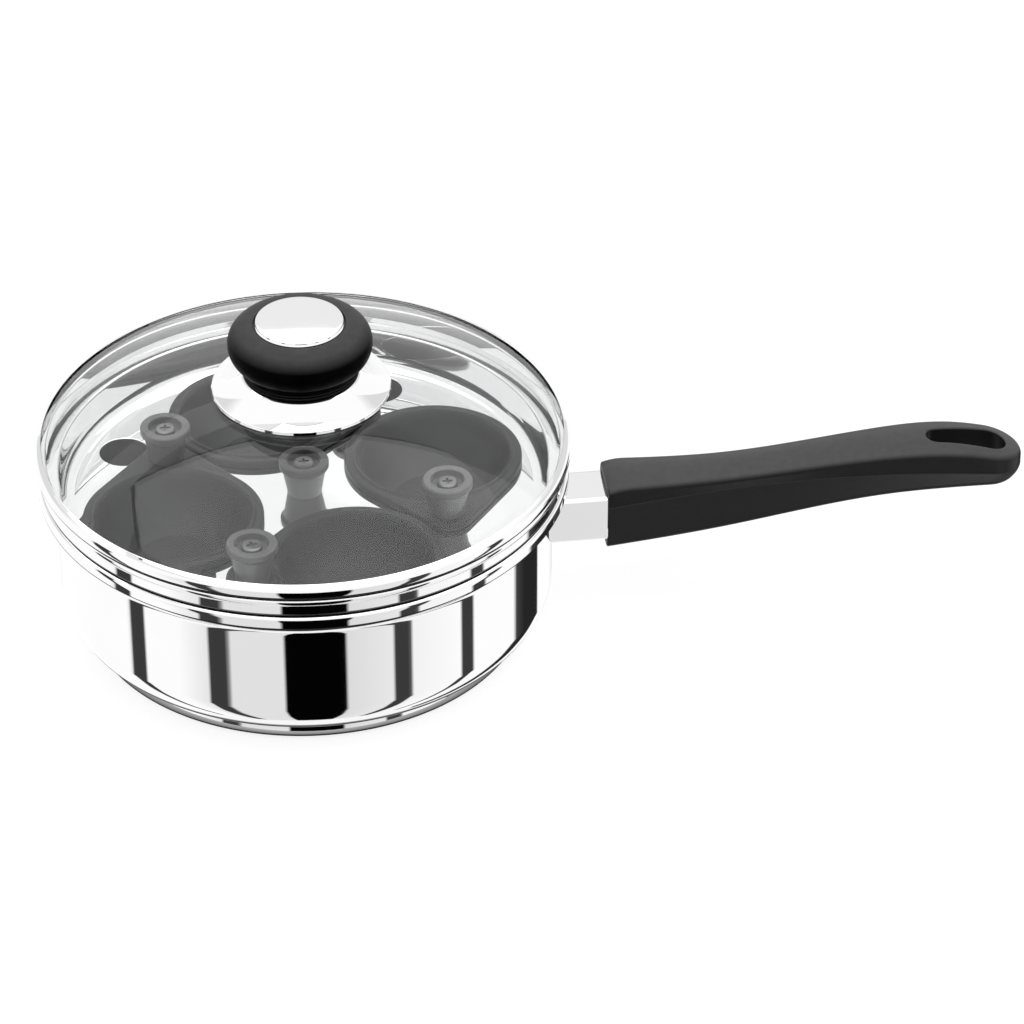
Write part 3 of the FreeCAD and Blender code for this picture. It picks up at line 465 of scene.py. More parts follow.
@dataclass(frozen=True)
class Faces:
    """Faces of a turned piece: radius and height in millimetres, and two parts of their normals."""

    radius: Array
    height: Array
    outward: Array
    upward: Array

    @classmethod
    def of(cls, mesh: bpy.types.Mesh) -> "Faces":
        """Reads the faces; the outward part of a normal is its part along the way from the axis.

        Args:
            mesh: The piece's mesh.

        Returns:
            Its faces.
        """
        middle = np.empty(len(mesh.polygons) * 3, np.float32)
        normal = np.empty(len(mesh.polygons) * 3, np.float32)
        mesh.polygons.foreach_get("center", middle)
        mesh.polygons.foreach_get("normal", normal)
        middle = middle.reshape(-1, 3) / MM
        normal = normal.reshape(-1, 3)
        radius = np.hypot(middle[:, 0], middle[:, 1])
        outward = (middle[:, :2] * normal[:, :2]).sum(axis=1) / np.maximum(radius, WELD)
        return cls(radius, middle[:, 2], outward, normal[:, 2])


def add_node(
    tree: Tree, kind: str, feeds: dict[str | int, float | Floats | Socket] | None = None,
    **options: str | Tree,
) -> bpy.types.Node:
    """Adds a shader node, sets its options and fills its inputs.

    Args:
        tree: The tree that it goes into.
        kind: Its type, without the first words that all of them share.
        feeds: For each input, its value or the socket that feeds it.
        **options: Its options, such as an operation or a group's tree.

    Returns:
        The new node.
    """
    node = tree.nodes.new("ShaderNode" + kind)
    for option, choice in options.items():
        setattr(node, option, choice)
    for name, feed in (feeds or {}).items():
        if isinstance(feed, Socket):
            tree.links.new(feed, node.inputs[name])
        else:
            node.inputs[name].default_value = feed
    return node


def grey(shade: float) -> Colour:
    """A shade of grey as a colour."""
    return (shade, shade, shade, 1.0)


class Effect(Enum):
    """The shader effects that several finishes share."""

    TURNED_MARKS = "turned_marks"
    FINE_GRAIN = "fine_grain"


@dataclass(frozen=True)
class EffectGroups:
    """Builds each shared effect as a node group, from the scales and details of its noises."""

    line_detail: float = 3.0
    cloud_scale: float = 35.0
    cloud_detail: float = 4.0
    grain_detail: float = 5.0
    grain_roughness: float = 0.65
    tone_share: float = 0.12
    tone_detail: float = 6.0

    def trees(self) -> dict[Effect, Tree]:
        """Every group by its effect."""
        return {Effect.TURNED_MARKS: self.turned_marks(), Effect.FINE_GRAIN: self.fine_grain()}

    @staticmethod
    def opened(effect: Effect) -> Tree:
        """Starts a group with the inputs Vector and Fineness.

        Args:
            effect: The effect that it is for.

        Returns:
            The new tree, with its input node.
        """
        tree = bpy.data.node_groups.new(effect.value, "ShaderNodeTree")
        for name, kind in (("Vector", "NodeSocketVector"), ("Fineness", "NodeSocketFloat")):
            tree.interface.new_socket(name, in_out="INPUT", socket_type=kind)
        tree.nodes.new("NodeGroupInput")
        return tree

    @staticmethod
    def closed(tree: Tree, **results: Socket) -> Tree:
        """Ends a group with its output values.

        Args:
            tree: The group.
            **results: The socket behind each output.

        Returns:
            The group.
        """
        end = tree.nodes.new("NodeGroupOutput")
        for name, value in results.items():
            tree.interface.new_socket(name, in_out="OUTPUT", socket_type="NodeSocketFloat")
            tree.links.new(value, end.inputs[name])
        return tree

    def turned_marks(self) -> Tree:
        """Marks of spinning and polishing: noise along radius plus height, and slow cloudiness.

        Returns:
            The group, with the outputs Height and Cloud.
        """
        tree = self.opened(Effect.TURNED_MARKS)
        given = tree.nodes["Group Input"].outputs
        split = add_node(tree, "SeparateXYZ", {0: given["Vector"]})
        flat = add_node(tree, "VectorMath", {0: given["Vector"], 1: LEVEL_PLANE}, operation="MULTIPLY")
        radius = add_node(tree, "VectorMath", {0: flat.outputs[0]}, operation="LENGTH")
        path = add_node(
            tree, "Math", {0: radius.outputs["Value"], 1: split.outputs["Z"]}, operation="ADD")
        lines = add_node(
            tree, "TexNoise",
            {"W": path.outputs[0], "Scale": given["Fineness"], "Detail": self.line_detail},
            noise_dimensions="1D")
        cloud = add_node(
            tree, "TexNoise",
            {"Vector": given["Vector"], "Scale": self.cloud_scale, "Detail": self.cloud_detail})
        return self.closed(tree, Height=lines.outputs[0], Cloud=cloud.outputs[0])

    def fine_grain(self) -> Tree:
        """Grain of a moulded or coated surface: fine noise for its bumps, slower noise for tone.

        Returns:
            The group, with the outputs Grain and Tone.
        """
        tree = self.opened(Effect.FINE_GRAIN)
        given = tree.nodes["Group Input"].outputs
        grain = add_node(tree, "TexNoise", {
            "Vector": given["Vector"], "Scale": given["Fineness"], "Detail": self.grain_detail,
            "Roughness": self.grain_roughness})
        slower = add_node(tree, "Math", {0: given["Fineness"], 1: self.tone_share}, operation="MULTIPLY")
        tone = add_node(tree, "TexNoise", {
            "Vector": given["Vector"], "Scale": slower.outputs[0], "Detail": self.tone_detail})
        return self.closed(tree, Grain=grain.outputs[0], Tone=tone.outputs[0])


class MaterialMaker:
    """One new material with its Principled shader, and the nodes that finishes add to it."""

    def __init__(self, name: str, groups: dict[Effect, Tree]) -> None:
        """Starts the material.

        Args:
            name: Name of the material.
            groups: The shared effects.
        """
        self.material = bpy.data.materials.new(name)
        self.material.use_nodes = True
        self.groups = groups
        self.tree = self.material.node_tree
        self.shader = self.tree.nodes["Principled BSDF"]

    def feed(self, into: str, value: Socket) -> None:
        """Links a value to a socket of the shader."""
        self.tree.links.new(value, self.shader.inputs[into])

    def effect(self, effect: Effect, fineness: float) -> bpy.types.Node:
        """Places a shared effect on Object coordinates.

        Args:
            effect: Which effect.
            fineness: Its value for this finish.

        Returns:
            The group's node.
        """
        place = add_node(self.tree, "TexCoord")
        return add_node(
            self.tree, "Group", {"Fineness": fineness, "Vector": place.outputs["Object"]},
            node_tree=self.groups[effect])

    def spread(self, value: Socket, low: float, high: float, into: str) -> None:
        """Feeds a shader socket with a value carried from the noise's usual span to low and high.

        Args:
            value: The noise.
            low: Result at the span's lower end.
            high: Result at its upper end.
            into: Name of the shader's socket.
        """
        span = add_node(self.tree, "MapRange", {
            "Value": value, "From Min": NOISE_LOW, "From Max": NOISE_HIGH, "To Min": low, "To Max": high})
        self.feed(into, span.outputs["Result"])

    def tint(self, value: Socket, dark: Triple, light: Triple) -> None:
        """Feeds Base Color with a mix of two colours.

        Args:
            value: Share of the light colour.
            dark: First colour.
            light: Second colour.
        """
        mix = add_node(
            self.tree, "Mix", {"Factor": value, "A": (*dark, 1.0), "B": (*light, 1.0)}, data_type="RGBA")
        self.feed("Base Color", mix.outputs["Result"])

    def paint_facing_shade(self, painted_shade_share: float, span: Pair) -> None:
        """Paints shade into Base Color: faces that look sideways or down get darker, by the upward part
        of the normal.

        Args:
            painted_shade_share: What is left of the colour there.
            span: The upward parts between which the colour comes back.
        """
        face = add_node(self.tree, "NewGeometry")
        split = add_node(self.tree, "SeparateXYZ", {0: face.outputs["Normal"]})
        share = add_node(self.tree, "MapRange", {
            "Value": split.outputs["Z"], "From Min": span[0], "From Max": span[1], "To Min": painted_shade_share})
        colour = self.shader.inputs["Base Color"].links[0].from_socket
        mix = add_node(
            self.tree, "Mix", {"Factor": share.outputs["Result"], "A": BLACK, "B": colour},
            data_type="RGBA")
        self.feed("Base Color", mix.outputs["Result"])

    def lean(self, outward: float) -> Socket:
        """The normal tipped away from the upright axis: the normal plus a share of the way outward.

        Args:
            outward: The share.

        Returns:
            The tipped normal.
        """
        place = add_node(self.tree, "TexCoord")
        flat = add_node(
            self.tree, "VectorMath", {0: place.outputs["Object"], 1: LEVEL_PLANE}, operation="MULTIPLY")
        unit = add_node(self.tree, "VectorMath", {0: flat.outputs[0]}, operation="NORMALIZE")
        face = add_node(self.tree, "NewGeometry")
        tipped = add_node(
            self.tree, "VectorMath",
            {0: unit.outputs[0], 1: (outward, outward, 0.0), 2: face.outputs["Normal"]},
            operation="MULTIPLY_ADD")
        even = add_node(self.tree, "VectorMath", {0: tipped.outputs[0]}, operation="NORMALIZE")
        return even.outputs[0]

    def bump(
        self, height: Socket, strength: float, depth: float, over: Socket | None = None,
    ) -> None:
        """Feeds Normal with a bump.

        Args:
            height: The bump's height.
            strength: Its strength.
            depth: Its depth in metres.
            over: The normal under the bump, where it isn't the surface's own.
        """
        node = add_node(
            self.tree, "Bump", {"Strength": strength, "Distance": depth, "Height": height})
        if over is not None:
            self.tree.links.new(over, node.inputs["Normal"])
        self.feed("Normal", node.outputs["Normal"])


@dataclass(frozen=True)
class MetalFinish:
    """A metal with marks of turning: two tones, a span of roughness, the marks' depth and a lean."""

    name: str
    dark: Triple
    light: Triple
    smooth: float
    rough: float
    fineness: float
    marks: float
    outward: float = 0.0

    def material(self, groups: dict[Effect, Tree]) -> bpy.types.Material:
        """Makes the material.

        Args:
            groups: The shared effects.

        Returns:
            The new material.
        """
        maker = MaterialMaker(self.name, groups)
        marks = maker.effect(Effect.TURNED_MARKS, self.fineness)
        maker.shader.inputs["Metallic"].default_value = 1.0
        maker.tint(marks.outputs["Cloud"], self.dark, self.light)
        maker.spread(marks.outputs["Cloud"], self.smooth, self.rough, "Roughness")
        over = maker.lean(self.outward) if self.outward else None
        maker.bump(marks.outputs["Height"], self.marks, MARK_DEPTH, over)
        return maker.material


@dataclass(frozen=True)
class MouldedFinish:
    """A moulded or coated surface: two tones, roughness, a fine grain, sheen, and painted shade on faces
    that look sideways or down.
    """

    name: str
    dark: Triple
    light: Triple
    smooth: float
    rough: float
    fineness: float
    grain: float
    specular: float = 0.5
    # Painted shade: the share of colour left on faces that look sideways or down, and the upward parts
    # between which it comes back.
    painted_shade_share: float = 1.0
    span: Pair = (-0.05, 0.75)

    def material(self, groups: dict[Effect, Tree]) -> bpy.types.Material:
        """Makes the material.

        Args:
            groups: The shared effects.

        Returns:
            The new material.
        """
        maker = MaterialMaker(self.name, groups)
        grain = maker.effect(Effect.FINE_GRAIN, self.fineness)
        maker.shader.inputs["Specular IOR Level"].default_value = self.specular
        maker.tint(grain.outputs["Tone"], self.dark, self.light)
        # Painted shade: faces that look sideways or down are darkened.
        maker.paint_facing_shade(self.painted_shade_share, self.span)
        maker.spread(grain.outputs["Grain"], self.smooth, self.rough, "Roughness")
        maker.bump(grain.outputs["Grain"], self.grain, GRAIN_DEPTH)
        return maker.material


@dataclass(frozen=True)
class GlassFinish:
    """Clear toughened glass, which lets lamplight through to what stands below it."""

    name: str
    clear: Triple
    deep: Triple
    index: float
    fineness: float = 200.0
    shadow: Triple = (0.94, 0.95, 0.95)

    def material(self, groups: dict[Effect, Tree]) -> bpy.types.Material:
        """Makes the material.

        Args:
            groups: The shared effects.

        Returns:
            The new material.
        """
        maker = MaterialMaker(self.name, groups)
        cloud = maker.effect(Effect.TURNED_MARKS, self.fineness)
        maker.tint(cloud.outputs["Cloud"], self.deep, self.clear)
        maker.shader.inputs["Roughness"].default_value = 0.0
        maker.shader.inputs["IOR"].default_value = self.index
        maker.shader.inputs["Transmission Weight"].default_value = 1.0
        through = add_node(maker.tree, "BsdfTransparent", {"Color": (*self.shadow, 1.0)})
        path = add_node(maker.tree, "LightPath")
        mix = add_node(maker.tree, "MixShader", {
            "Fac": path.outputs["Is Shadow Ray"], 1: maker.shader.outputs["BSDF"],
            2: through.outputs["BSDF"]})
        end = maker.tree.nodes["Material Output"]
        maker.tree.links.new(mix.outputs["Shader"], end.inputs["Surface"])
        return maker.material


FINISHES: dict[Slot | Look, MetalFinish | MouldedFinish | GlassFinish] = {
    Slot.STEEL: MetalFinish(
        "mirror_steel", (0.90, 0.90, 0.905), (0.95, 0.95, 0.95), 0.02, 0.045, 2500.0, 0.02),
    Slot.CORE: MetalFinish(
        "spun_aluminium", (0.58, 0.58, 0.60), (0.66, 0.66, 0.67), 0.30, 0.42, 3000.0, 0.3),
    Slot.FIXING: MetalFinish(
        "plated_screw_steel", (0.52, 0.52, 0.52), (0.62, 0.61, 0.60), 0.22, 0.34, 5000.0, 0.2),
    Slot.BRASS: MetalFinish(
        "turned_brass", (0.60, 0.42, 0.16), (0.72, 0.53, 0.24), 0.22, 0.32, 4000.0, 0.2),
    Slot.SILICONE: MouldedFinish(
        "clear_grey_silicone", (0.30, 0.30, 0.30), (0.36, 0.36, 0.36), 0.45, 0.60, 2500.0, 0.1),
    # The grip's phenolic: grain, and painted shade that darkens its sides and underside.
    Slot.PHENOLIC: MouldedFinish(
        "black_phenolic_grain_painted_shade", (0.064, 0.063, 0.063), (0.094, 0.093, 0.093),
        0.36, 0.44, 2200.0, 0.2, 0.2, 0.22, (0.25, 0.85)),
    Slot.NON_STICK: MouldedFinish(
        "dark_non_stick", (0.017, 0.017, 0.0174), (0.023, 0.023, 0.0234),
        0.40, 0.42, 3200.0, 0.004, 0.24),
    Slot.GLASS: GlassFinish("clear_lid_glass", (1.0, 1.0, 1.0), (0.975, 0.985, 0.985), 1.34),
    Look.TIPPED_STEEL: MetalFinish(
        "mirror_flange_steel", (0.90, 0.90, 0.905), (0.95, 0.95, 0.95), 0.03, 0.06, 2500.0, 0.02, 0.75),
    # The lid knob's phenolic: a lighter copy with strong painted shade on faces that look sideways or
    # down.
    Look.LID_PHENOLIC: MouldedFinish(
        "lid_phenolic_grain_painted_shade", (0.076, 0.075, 0.075), (0.108, 0.107, 0.107),
        0.36, 0.44, 2200.0, 0.2, 0.025, 0.005, (0.3, 0.85)),
    Look.SATIN_STEEL: MetalFinish(
        "satin_inside_steel", (0.50, 0.50, 0.50), (0.58, 0.58, 0.58), 0.30, 0.38, 2500.0, 0.2),
    # Painted shade: a dark copy of the mirror steel for the tray's band under its bead.
    Look.PAINTED_SHADE_STEEL: MetalFinish(
        "painted_shade_band_steel", (0.16, 0.16, 0.16), (0.21, 0.21, 0.21), 0.24, 0.32, 2500.0, 0.05),
    # Painted shade: a near-black finish for faces in gaps and under rims, where shade falls.
    Look.PAINTED_SEAM_SHADE: MouldedFinish(
        "shaded_seam", (0.004, 0.004, 0.004), (0.008, 0.008, 0.008), 0.55, 0.65, 2500.0, 0.02, 0.2),
    Look.KNOB_PHENOLIC: MouldedFinish(
        "knob_phenolic_grain", (0.070, 0.070, 0.070), (0.095, 0.095, 0.095),
        0.30, 0.38, 2600.0, 0.05, 0.5),
    # Painted shade: a darker copy of the screw steel for the screws deep in the knobs' recesses.
    Look.PAINTED_SHADE_SCREW: MetalFinish(
        "painted_shade_screw_steel", (0.15, 0.15, 0.15), (0.21, 0.21, 0.21), 0.32, 0.42, 5000.0, 0.2),
}


class Palette:
    """The finished materials by slot, and the dressing of pieces with them."""

    def __init__(self, frame: dict) -> None:
        """Makes every finish.

        Args:
            frame: The loaded frame.
        """
        self.nodes = frame["nodes"]
        groups = EffectGroups().trees()
        self.materials = {slot: finish.material(groups) for slot, finish in FINISHES.items()}

    def dress(
        self, piece: bpy.types.Object, body: str, slot: Slot, *nodes: str, look: Look | None = None,
    ) -> bpy.types.Object:
        """Gives a new piece its finish, its body and the nodes that it stands for.

        Args:
            piece: The piece.
            body: The body that it rides on.
            slot: Its material slot.
            *nodes: The frame's nodes that it replaces.
            look: Its finish, where it isn't the slot's usual one.

        Returns:
            The piece.
        """
        piece.data.materials.append(self.materials[look or slot])
        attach(piece, body)
        if nodes:
            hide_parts(*nodes)
        LOG.info("%s rides on %s with %s", piece.name, body, slot.value)
        return piece

    def second(self, piece: bpy.types.Object, look: Look, chosen: Callable[[Faces], Array]) -> None:
        """Gives some faces of a turned piece a second finish.

        Args:
            piece: The piece.
            look: The second finish.
            chosen: Picks the faces, as True for each of them.
        """
        mesh = piece.data
        index = np.empty(len(mesh.polygons), np.int32)
        mesh.polygons.foreach_get("material_index", index)
        mesh.materials.append(self.materials[look])
        index[chosen(Faces.of(mesh))] = len(mesh.materials) - 1
        mesh.polygons.foreach_set("material_index", index)

    def repaint(self, slot: Slot, *nodes: str, look: Look | None = None) -> None:
        """Gives nodes of the frame that stay in sight their finish.

        Args:
            slot: Their material slot.
            *nodes: Their names.
            look: Their finish, where it isn't the slot's usual one.
        """
        for name in nodes:
            mesh = self.nodes[name].data
            mesh.materials.clear()
            mesh.materials.append(self.materials[look or slot])
            LOG.info("%s keeps its solid with %s", name, slot.value)


@dataclass
class Pan:
    """The spun shell and the cap under its floor."""

    wall: float = 95.5
    sheet: float = 0.8
    corner: float = 14.0
    floor: float = 5.5
    flare: float = 55.0
    flare_height: float = 7.0
    flare_step: float = 3.5
    rim_step: float = 3.0
    top: float = 67.5
    hem: float = 62.5
    cap: float = 86.0
    cap_round: float = 2.0
    cap_skin: float = 0.8
    ring_radii: Floats = (24.0, 40.0, 56.0, 72.0)
    ring_half: float = 0.6
    ring_floor: float = 0.3
    ring_depth: float = 0.15
    ring_soft: float = 0.4
    hem_soft: float = 0.3
    groove: float = 57.9
    brink: float = 1.1
    neck_reach: float = 0.3
    curl_reach: float = 1.0
    brink_reach: float = 2.0
    seam_gap: float = 0.1

    def shell(self) -> bpy.types.Object:
        """The shell: floor, wall, a flare of two equal arcs and a rim rolled outward and down.

        Returns:
            The new piece.
        """
        inside = self.wall - self.sheet
        half_step = self.flare_step / 2
        half_height = self.flare_height / 2
        bend = (half_step**2 + half_height**2) / self.flare_step
        middle = (self.wall + half_step, self.flare + half_height)
        lean_in = (bend - half_step) / bend * self.sheet
        lean_up = half_height / bend * self.sheet
        mouth = self.wall + self.flare_step
        mouth_inside = mouth - self.sheet
        rim = mouth + self.rim_step
        roll = (rim - mouth_inside) / 2
        roll_inside = roll - self.sheet
        crest = rim - roll
        crest_z = self.top - roll
        flare_top = self.flare + self.flare_height
        return turned_piece("pan_shell", [
            Corner(0, self.floor),
            Corner(self.wall - self.corner, self.floor),
            Corner(self.wall, self.floor + self.corner, radius=self.corner),
            Corner(self.wall, self.flare),
            Corner(*middle, radius=bend, bend=Bend.RIGHT),
            Corner(mouth, flare_top, radius=bend),
            Corner(mouth, crest_z),
            Corner(crest, crest_z + roll_inside, radius=roll_inside, bend=Bend.RIGHT),
            Corner(rim - self.sheet, crest_z, radius=roll_inside, bend=Bend.RIGHT),
            Corner(rim - self.sheet, self.hem, soft=self.hem_soft),
            Corner(rim, self.hem, soft=self.hem_soft),
            Corner(rim, crest_z),
            Corner(crest, self.top, radius=roll),
            Corner(mouth_inside, crest_z, radius=roll),
            Corner(mouth_inside, flare_top),
            Corner(middle[0] - lean_in, middle[1] + lean_up, radius=bend + self.sheet, bend=Bend.RIGHT),
            Corner(inside, self.flare, radius=bend - self.sheet),
            Corner(inside, self.floor + self.corner),
            Corner(
                self.wall - self.corner, self.floor + self.sheet,
                radius=self.corner - self.sheet, bend=Bend.RIGHT),
            Corner(0, self.floor + self.sheet),
        ], closed=False)

    def underside(self) -> bpy.types.Object:
        """The cap that encloses the heat-spreading disc, with shallow rings turned in its underside.

        Returns:
            The new piece.
        """
        inner = self.cap - self.cap_skin
        flat = self.cap - self.cap_round
        rings = []
        for radius in self.ring_radii:
            rings += [
                Corner(radius - self.ring_half, 0, soft=self.ring_soft),
                Corner(radius - self.ring_floor, self.ring_depth, soft=self.ring_soft),
                Corner(radius + self.ring_floor, self.ring_depth, soft=self.ring_soft),
                Corner(radius + self.ring_half, 0, soft=self.ring_soft),
            ]
        return turned_piece("base_cap_skin", [
            Corner(0, 0),
            *rings,
            Corner(flat, 0),
            Corner(self.cap, self.cap_round, radius=self.cap_round),
            Corner(self.cap, self.floor),
            Corner(inner, self.floor),
            Corner(inner, self.cap_round),
            Corner(flat, self.cap_skin, radius=self.cap_round - self.cap_skin, bend=Bend.RIGHT),
            Corner(0, self.cap_skin),
        ], closed=False)

    def inside_faces(self, faces: Faces) -> Array:
        """The faces of the shell's inside, below the flare."""
        inside = (faces.height < self.flare) & (faces.radius < self.wall)
        return inside & (faces.outward < EDGE_ON) & (faces.upward > -EDGE_ON)

    def roll_faces(self, faces: Faces) -> Array:
        """The faces inside the rolled rim and close under it, which stay in shadow, painted near-black as
        painted shade.

        Args:
            faces: The shell's faces.

        Returns:
            True for each of them.
        """
        mouth = self.wall + self.flare_step
        neck = (faces.outward > FACING) & (faces.radius < mouth + self.neck_reach)
        curl = (faces.outward < -FACING) & (faces.radius > mouth + self.curl_reach)
        above = faces.height > self.flare + self.flare_height + self.seam_gap
        roll = above & (neck | curl | (faces.upward < -LEANING))
        below = (faces.height > self.groove) & (faces.height < self.hem)
        groove = below & (faces.outward > LEANING) & (faces.upward < EDGE_ON)
        brink = (faces.height < self.hem + self.brink) & (faces.height > self.hem - self.seam_gap)
        return roll | groove | (brink & (faces.radius > mouth + self.brink_reach))

    def build(self, palette: Palette) -> None:
        """Builds and dresses the pan.

        Args:
            palette: The finishes.
        """
        shell = palette.dress(self.shell(), "pan", Slot.STEEL, "pan_body")
        palette.second(shell, Look.SATIN_STEEL, self.inside_faces)
        # Painted shade in and under the rolled rim.
        palette.second(shell, Look.PAINTED_SEAM_SHADE, self.roll_faces)
        palette.dress(self.underside(), "pan", Slot.STEEL, "base_cap")
        palette.repaint(Slot.CORE, "base_core")


@dataclass
class Handle:
    """The flame guard and the moulded grip, which points along +X."""

    wall: float = 95.55
    axis: float = 37.0
    start: float = 117.0
    length: float = 165.3
    guard_width: float = 21.4
    guard_height: float = 19.6
    guard_round: float = 1.8
    guard_sheet: float = 1.0
    guard_soft: float = 0.2
    guard_shares: Floats = (0.0, 0.02, 0.5, 0.98, 1.0)
    guard_bow: int = 13
    shares: Floats = (0.0, 0.29, 0.653, 0.847, 1.0)
    half_widths: Floats = (12.6, 10.8, 12.2, 13.4, 12.8)
    partings: Floats = (6.5, 10.3, 12.4, 11.0, 7.8)
    tops: Floats = (15.0, 15.0, 20.0, 19.4, 13.4)
    bottoms: Floats = (-15.1, -10.7, -0.7, 1.2, 0.4)
    shoulder: float = 2.4
    draft: float = 0.9
    taper: float = 3.6
    crown: float = 0.9
    tip_round: float = 13.6
    root_soft: float = 0.6
    tip_foot: float = 6.0
    tip_depth: float = 7.4
    tip_edge: float = 0.75
    root_dip: float = 1.8
    dip_length: float = 9.0
    seam_half: float = 0.22
    seam_depth: float = 0.14
    slot_inner: float = 248.5
    slot_run: float = 21.0
    slot_radii: Pair = (4.4, 6.4)
    slot_soft: float = 0.8
    slot_foot: float = 0.1
    bore_at: float = 138.0
    bore_radius: float = 5.0
    bore_rim: float = 0.5
    bore_soft: float = 0.2
    bore_top: float = 30.5
    run_shares: Floats = (0.0, 0.04, 0.3, 0.6, 0.94, 1.0)
    edge_bow: int = 9
    fine_bow: int = 7
    side_columns: int = 111
    end_columns: int = 61
    root_columns: int = 15
    top_free: Pair = (3.4, 1.2)
    sole_free: Pair = (6.2, 0.4)
    free_start: float = 3.0
    free_pitch: float = 2.5
    free_half: float = 10.0
    free_columns: int = 11
    free_margin: float = 1.0
    free_bore: float = 1.2
    crease: float = 40.0

    @property
    def end_centre(self) -> float:
        """Where the rounded end begins."""
        return self.start + self.length - self.tip_round

    def along(self, values: Floats, x: Array) -> Array:
        """A station value carried smoothly along the grip."""
        knots = self.start + self.length * np.array(self.shares)
        return smooth_through(knots, np.array(values), x)

    def root_inset(self, x: Array) -> Array:
        """How far the rounded root edge draws the section in: a quarter circle along X."""
        short = np.clip(self.root_soft - (x - self.start), 0.0, self.root_soft)
        return self.root_soft - np.sqrt(self.root_soft**2 - short**2)

    def half_width(self, x: Array) -> Array:
        """Half the width at the parting line, without the rounded end."""
        return self.along(self.half_widths, np.minimum(x, self.end_centre))

    def top(self, x: Array) -> Array:
        """Height of the upper edge, which dips and rounds off towards the root."""
        near = np.clip(1 - (x - self.start) / self.dip_length, 0.0, 1.0)
        return self.axis + self.along(self.tops, x) - self.root_dip * near**2 - self.root_inset(x)

    def bottom(self, x: Array) -> Array:
        """Height of the underside."""
        return self.axis + self.along(self.bottoms, x) + self.root_inset(x)

    def crowned(self, pairs: Array) -> Array:
        """The top face: the upper edge's height plus a crown that falls with the square of distance.

        Args:
            pairs: Points in plan.

        Returns:
            Points in space.
        """
        x = pairs[..., 0]
        y = pairs[..., 1]
        edge = self.draft + self.shoulder
        ahead = np.maximum(x - self.end_centre, 0.0) / (self.tip_round - edge)
        aside = y / (self.half_width(x) - edge - self.root_inset(x))
        share = np.clip(1 - ahead**2 - aside**2, 0.0, 1.0)
        return np.stack((x, y, self.top(x) + self.crown * share), axis=-1)

    def sole(self, pairs: Array) -> Array:
        """The underside at points in plan."""
        return np.concatenate((pairs, self.bottom(pairs[..., :1])), axis=-1)

    def end_inset(self, inset: Array, weights: Array, offset: Array) -> Array:
        """How far the grip's end draws in, which is less than its sides do.

        Below the parting line it is a quarter ellipse of the share of height, and above it a part of
        the rounded upper edge.

        Args:
            inset: Inset of each row along the sides.
            weights: Weights of bottom, parting and top for each row.
            offset: Offset of each row in height.

        Returns:
            Inset of each row at the end.
        """
        rise = np.clip(weights[:, 1] + offset / self.tip_depth, 0.0, 1.0)
        below = self.tip_foot * (1 - np.sqrt(1 - (1 - rise) ** 2))
        above = self.tip_edge * np.maximum(inset - self.draft, 0.0)
        return np.where(weights[:, 2] > 0, above, np.where(weights[:, 1] < 1, below, inset))

    def plan(self, inset: Array, end: Array) -> tuple[Array, Array]:
        """The grip's outline from above, drawn in by an inset for each row.

        Along the sides only y draws in; round the end the outline is a half ellipse about the end's
        centre, whose half axes draw in by a mix of both insets by the square of the cosine.

        Args:
            inset: Inset of each row along the sides.
            end: Inset of each row at the end.

        Returns:
            X and y, rows by columns, from the root's left side round the end to its right side.
        """
        bow = np.linspace(0, QUARTER_TURN, self.fine_bow)[:-1]
        root = self.start + self.root_soft * (1 - np.cos(bow))
        even = np.linspace(self.start + self.root_soft, self.end_centre, self.side_columns)
        run = np.concatenate((root, even))
        turn = np.linspace(QUARTER_TURN, -QUARTER_TURN, self.end_columns)[1:-1]
        side = (self.half_width(run) - self.root_inset(run)) - inset[:, None]
        drawn = inset[:, None] + (end - inset)[:, None] * np.cos(turn) ** 2
        end_x = self.end_centre + (self.tip_round - drawn) * np.cos(turn)
        end_y = (self.half_width(np.array([self.end_centre])) - drawn) * np.sin(turn)
        run_x = np.broadcast_to(run, side.shape)
        x = np.concatenate((run_x, end_x, run_x[:, ::-1]), axis=1)
        y = np.concatenate((side, end_y, -side[:, ::-1]), axis=1)
        return x, y

    def wall_rows(self) -> tuple[Array, Array, Array]:
        """Rows of the side from the underside up: inset, share of height, and offset in height.

        A quarter circle leaves the underside, a leaning run meets the parting line with its fine
        seam, a second run leans in above it, and a quarter circle meets the top.

        Returns:
            Inset, weights of bottom, parting and top, and offset of each row.
        """
        bow = np.linspace(0, QUARTER_TURN, self.edge_bow)
        run = np.array(self.run_shares)
        whole = np.ones_like(bow)
        none = np.zeros_like(bow)
        no_run = np.zeros_like(run)
        low_arc = np.stack((
            self.taper + self.shoulder * (1 - np.sin(bow)), whole, none, none,
            self.shoulder * (1 - np.cos(bow))), axis=-1)
        low_run = np.stack((
            self.taper * (1 - run), 1 - run, run, no_run,
            self.shoulder * (1 - run) - self.seam_half * run), axis=-1)
        seam = np.array([[self.seam_depth, 0.0, 1.0, 0.0, 0.0]])
        high_run = np.stack((
            self.draft * run, no_run, 1 - run, run,
            self.seam_half * (1 - run) - self.shoulder * run), axis=-1)
        high_arc = np.stack((
            self.draft + self.shoulder * (1 - np.cos(bow)), none, none, whole,
            -self.shoulder * (1 - np.sin(bow))), axis=-1)
        rows = np.concatenate((low_arc, low_run[1:], seam, high_run, high_arc[1:]))
        return rows[:, 0], rows[:, 1:4], rows[:, 4]

    def side_wall(self) -> Array:
        """The grip's side as a grid, row by row from the underside to the top.

        Returns:
            Grid of points.
        """
        inset, weights, offset = self.wall_rows()
        x, y = self.plan(inset, self.end_inset(inset, weights, offset))
        levels = np.stack((
            self.bottom(x), self.axis + self.along(self.partings, x), self.top(x)), axis=-1)
        z = (levels * weights[:, None, :]).sum(axis=-1) + offset[:, None]
        return np.stack((x, y, z), axis=-1)

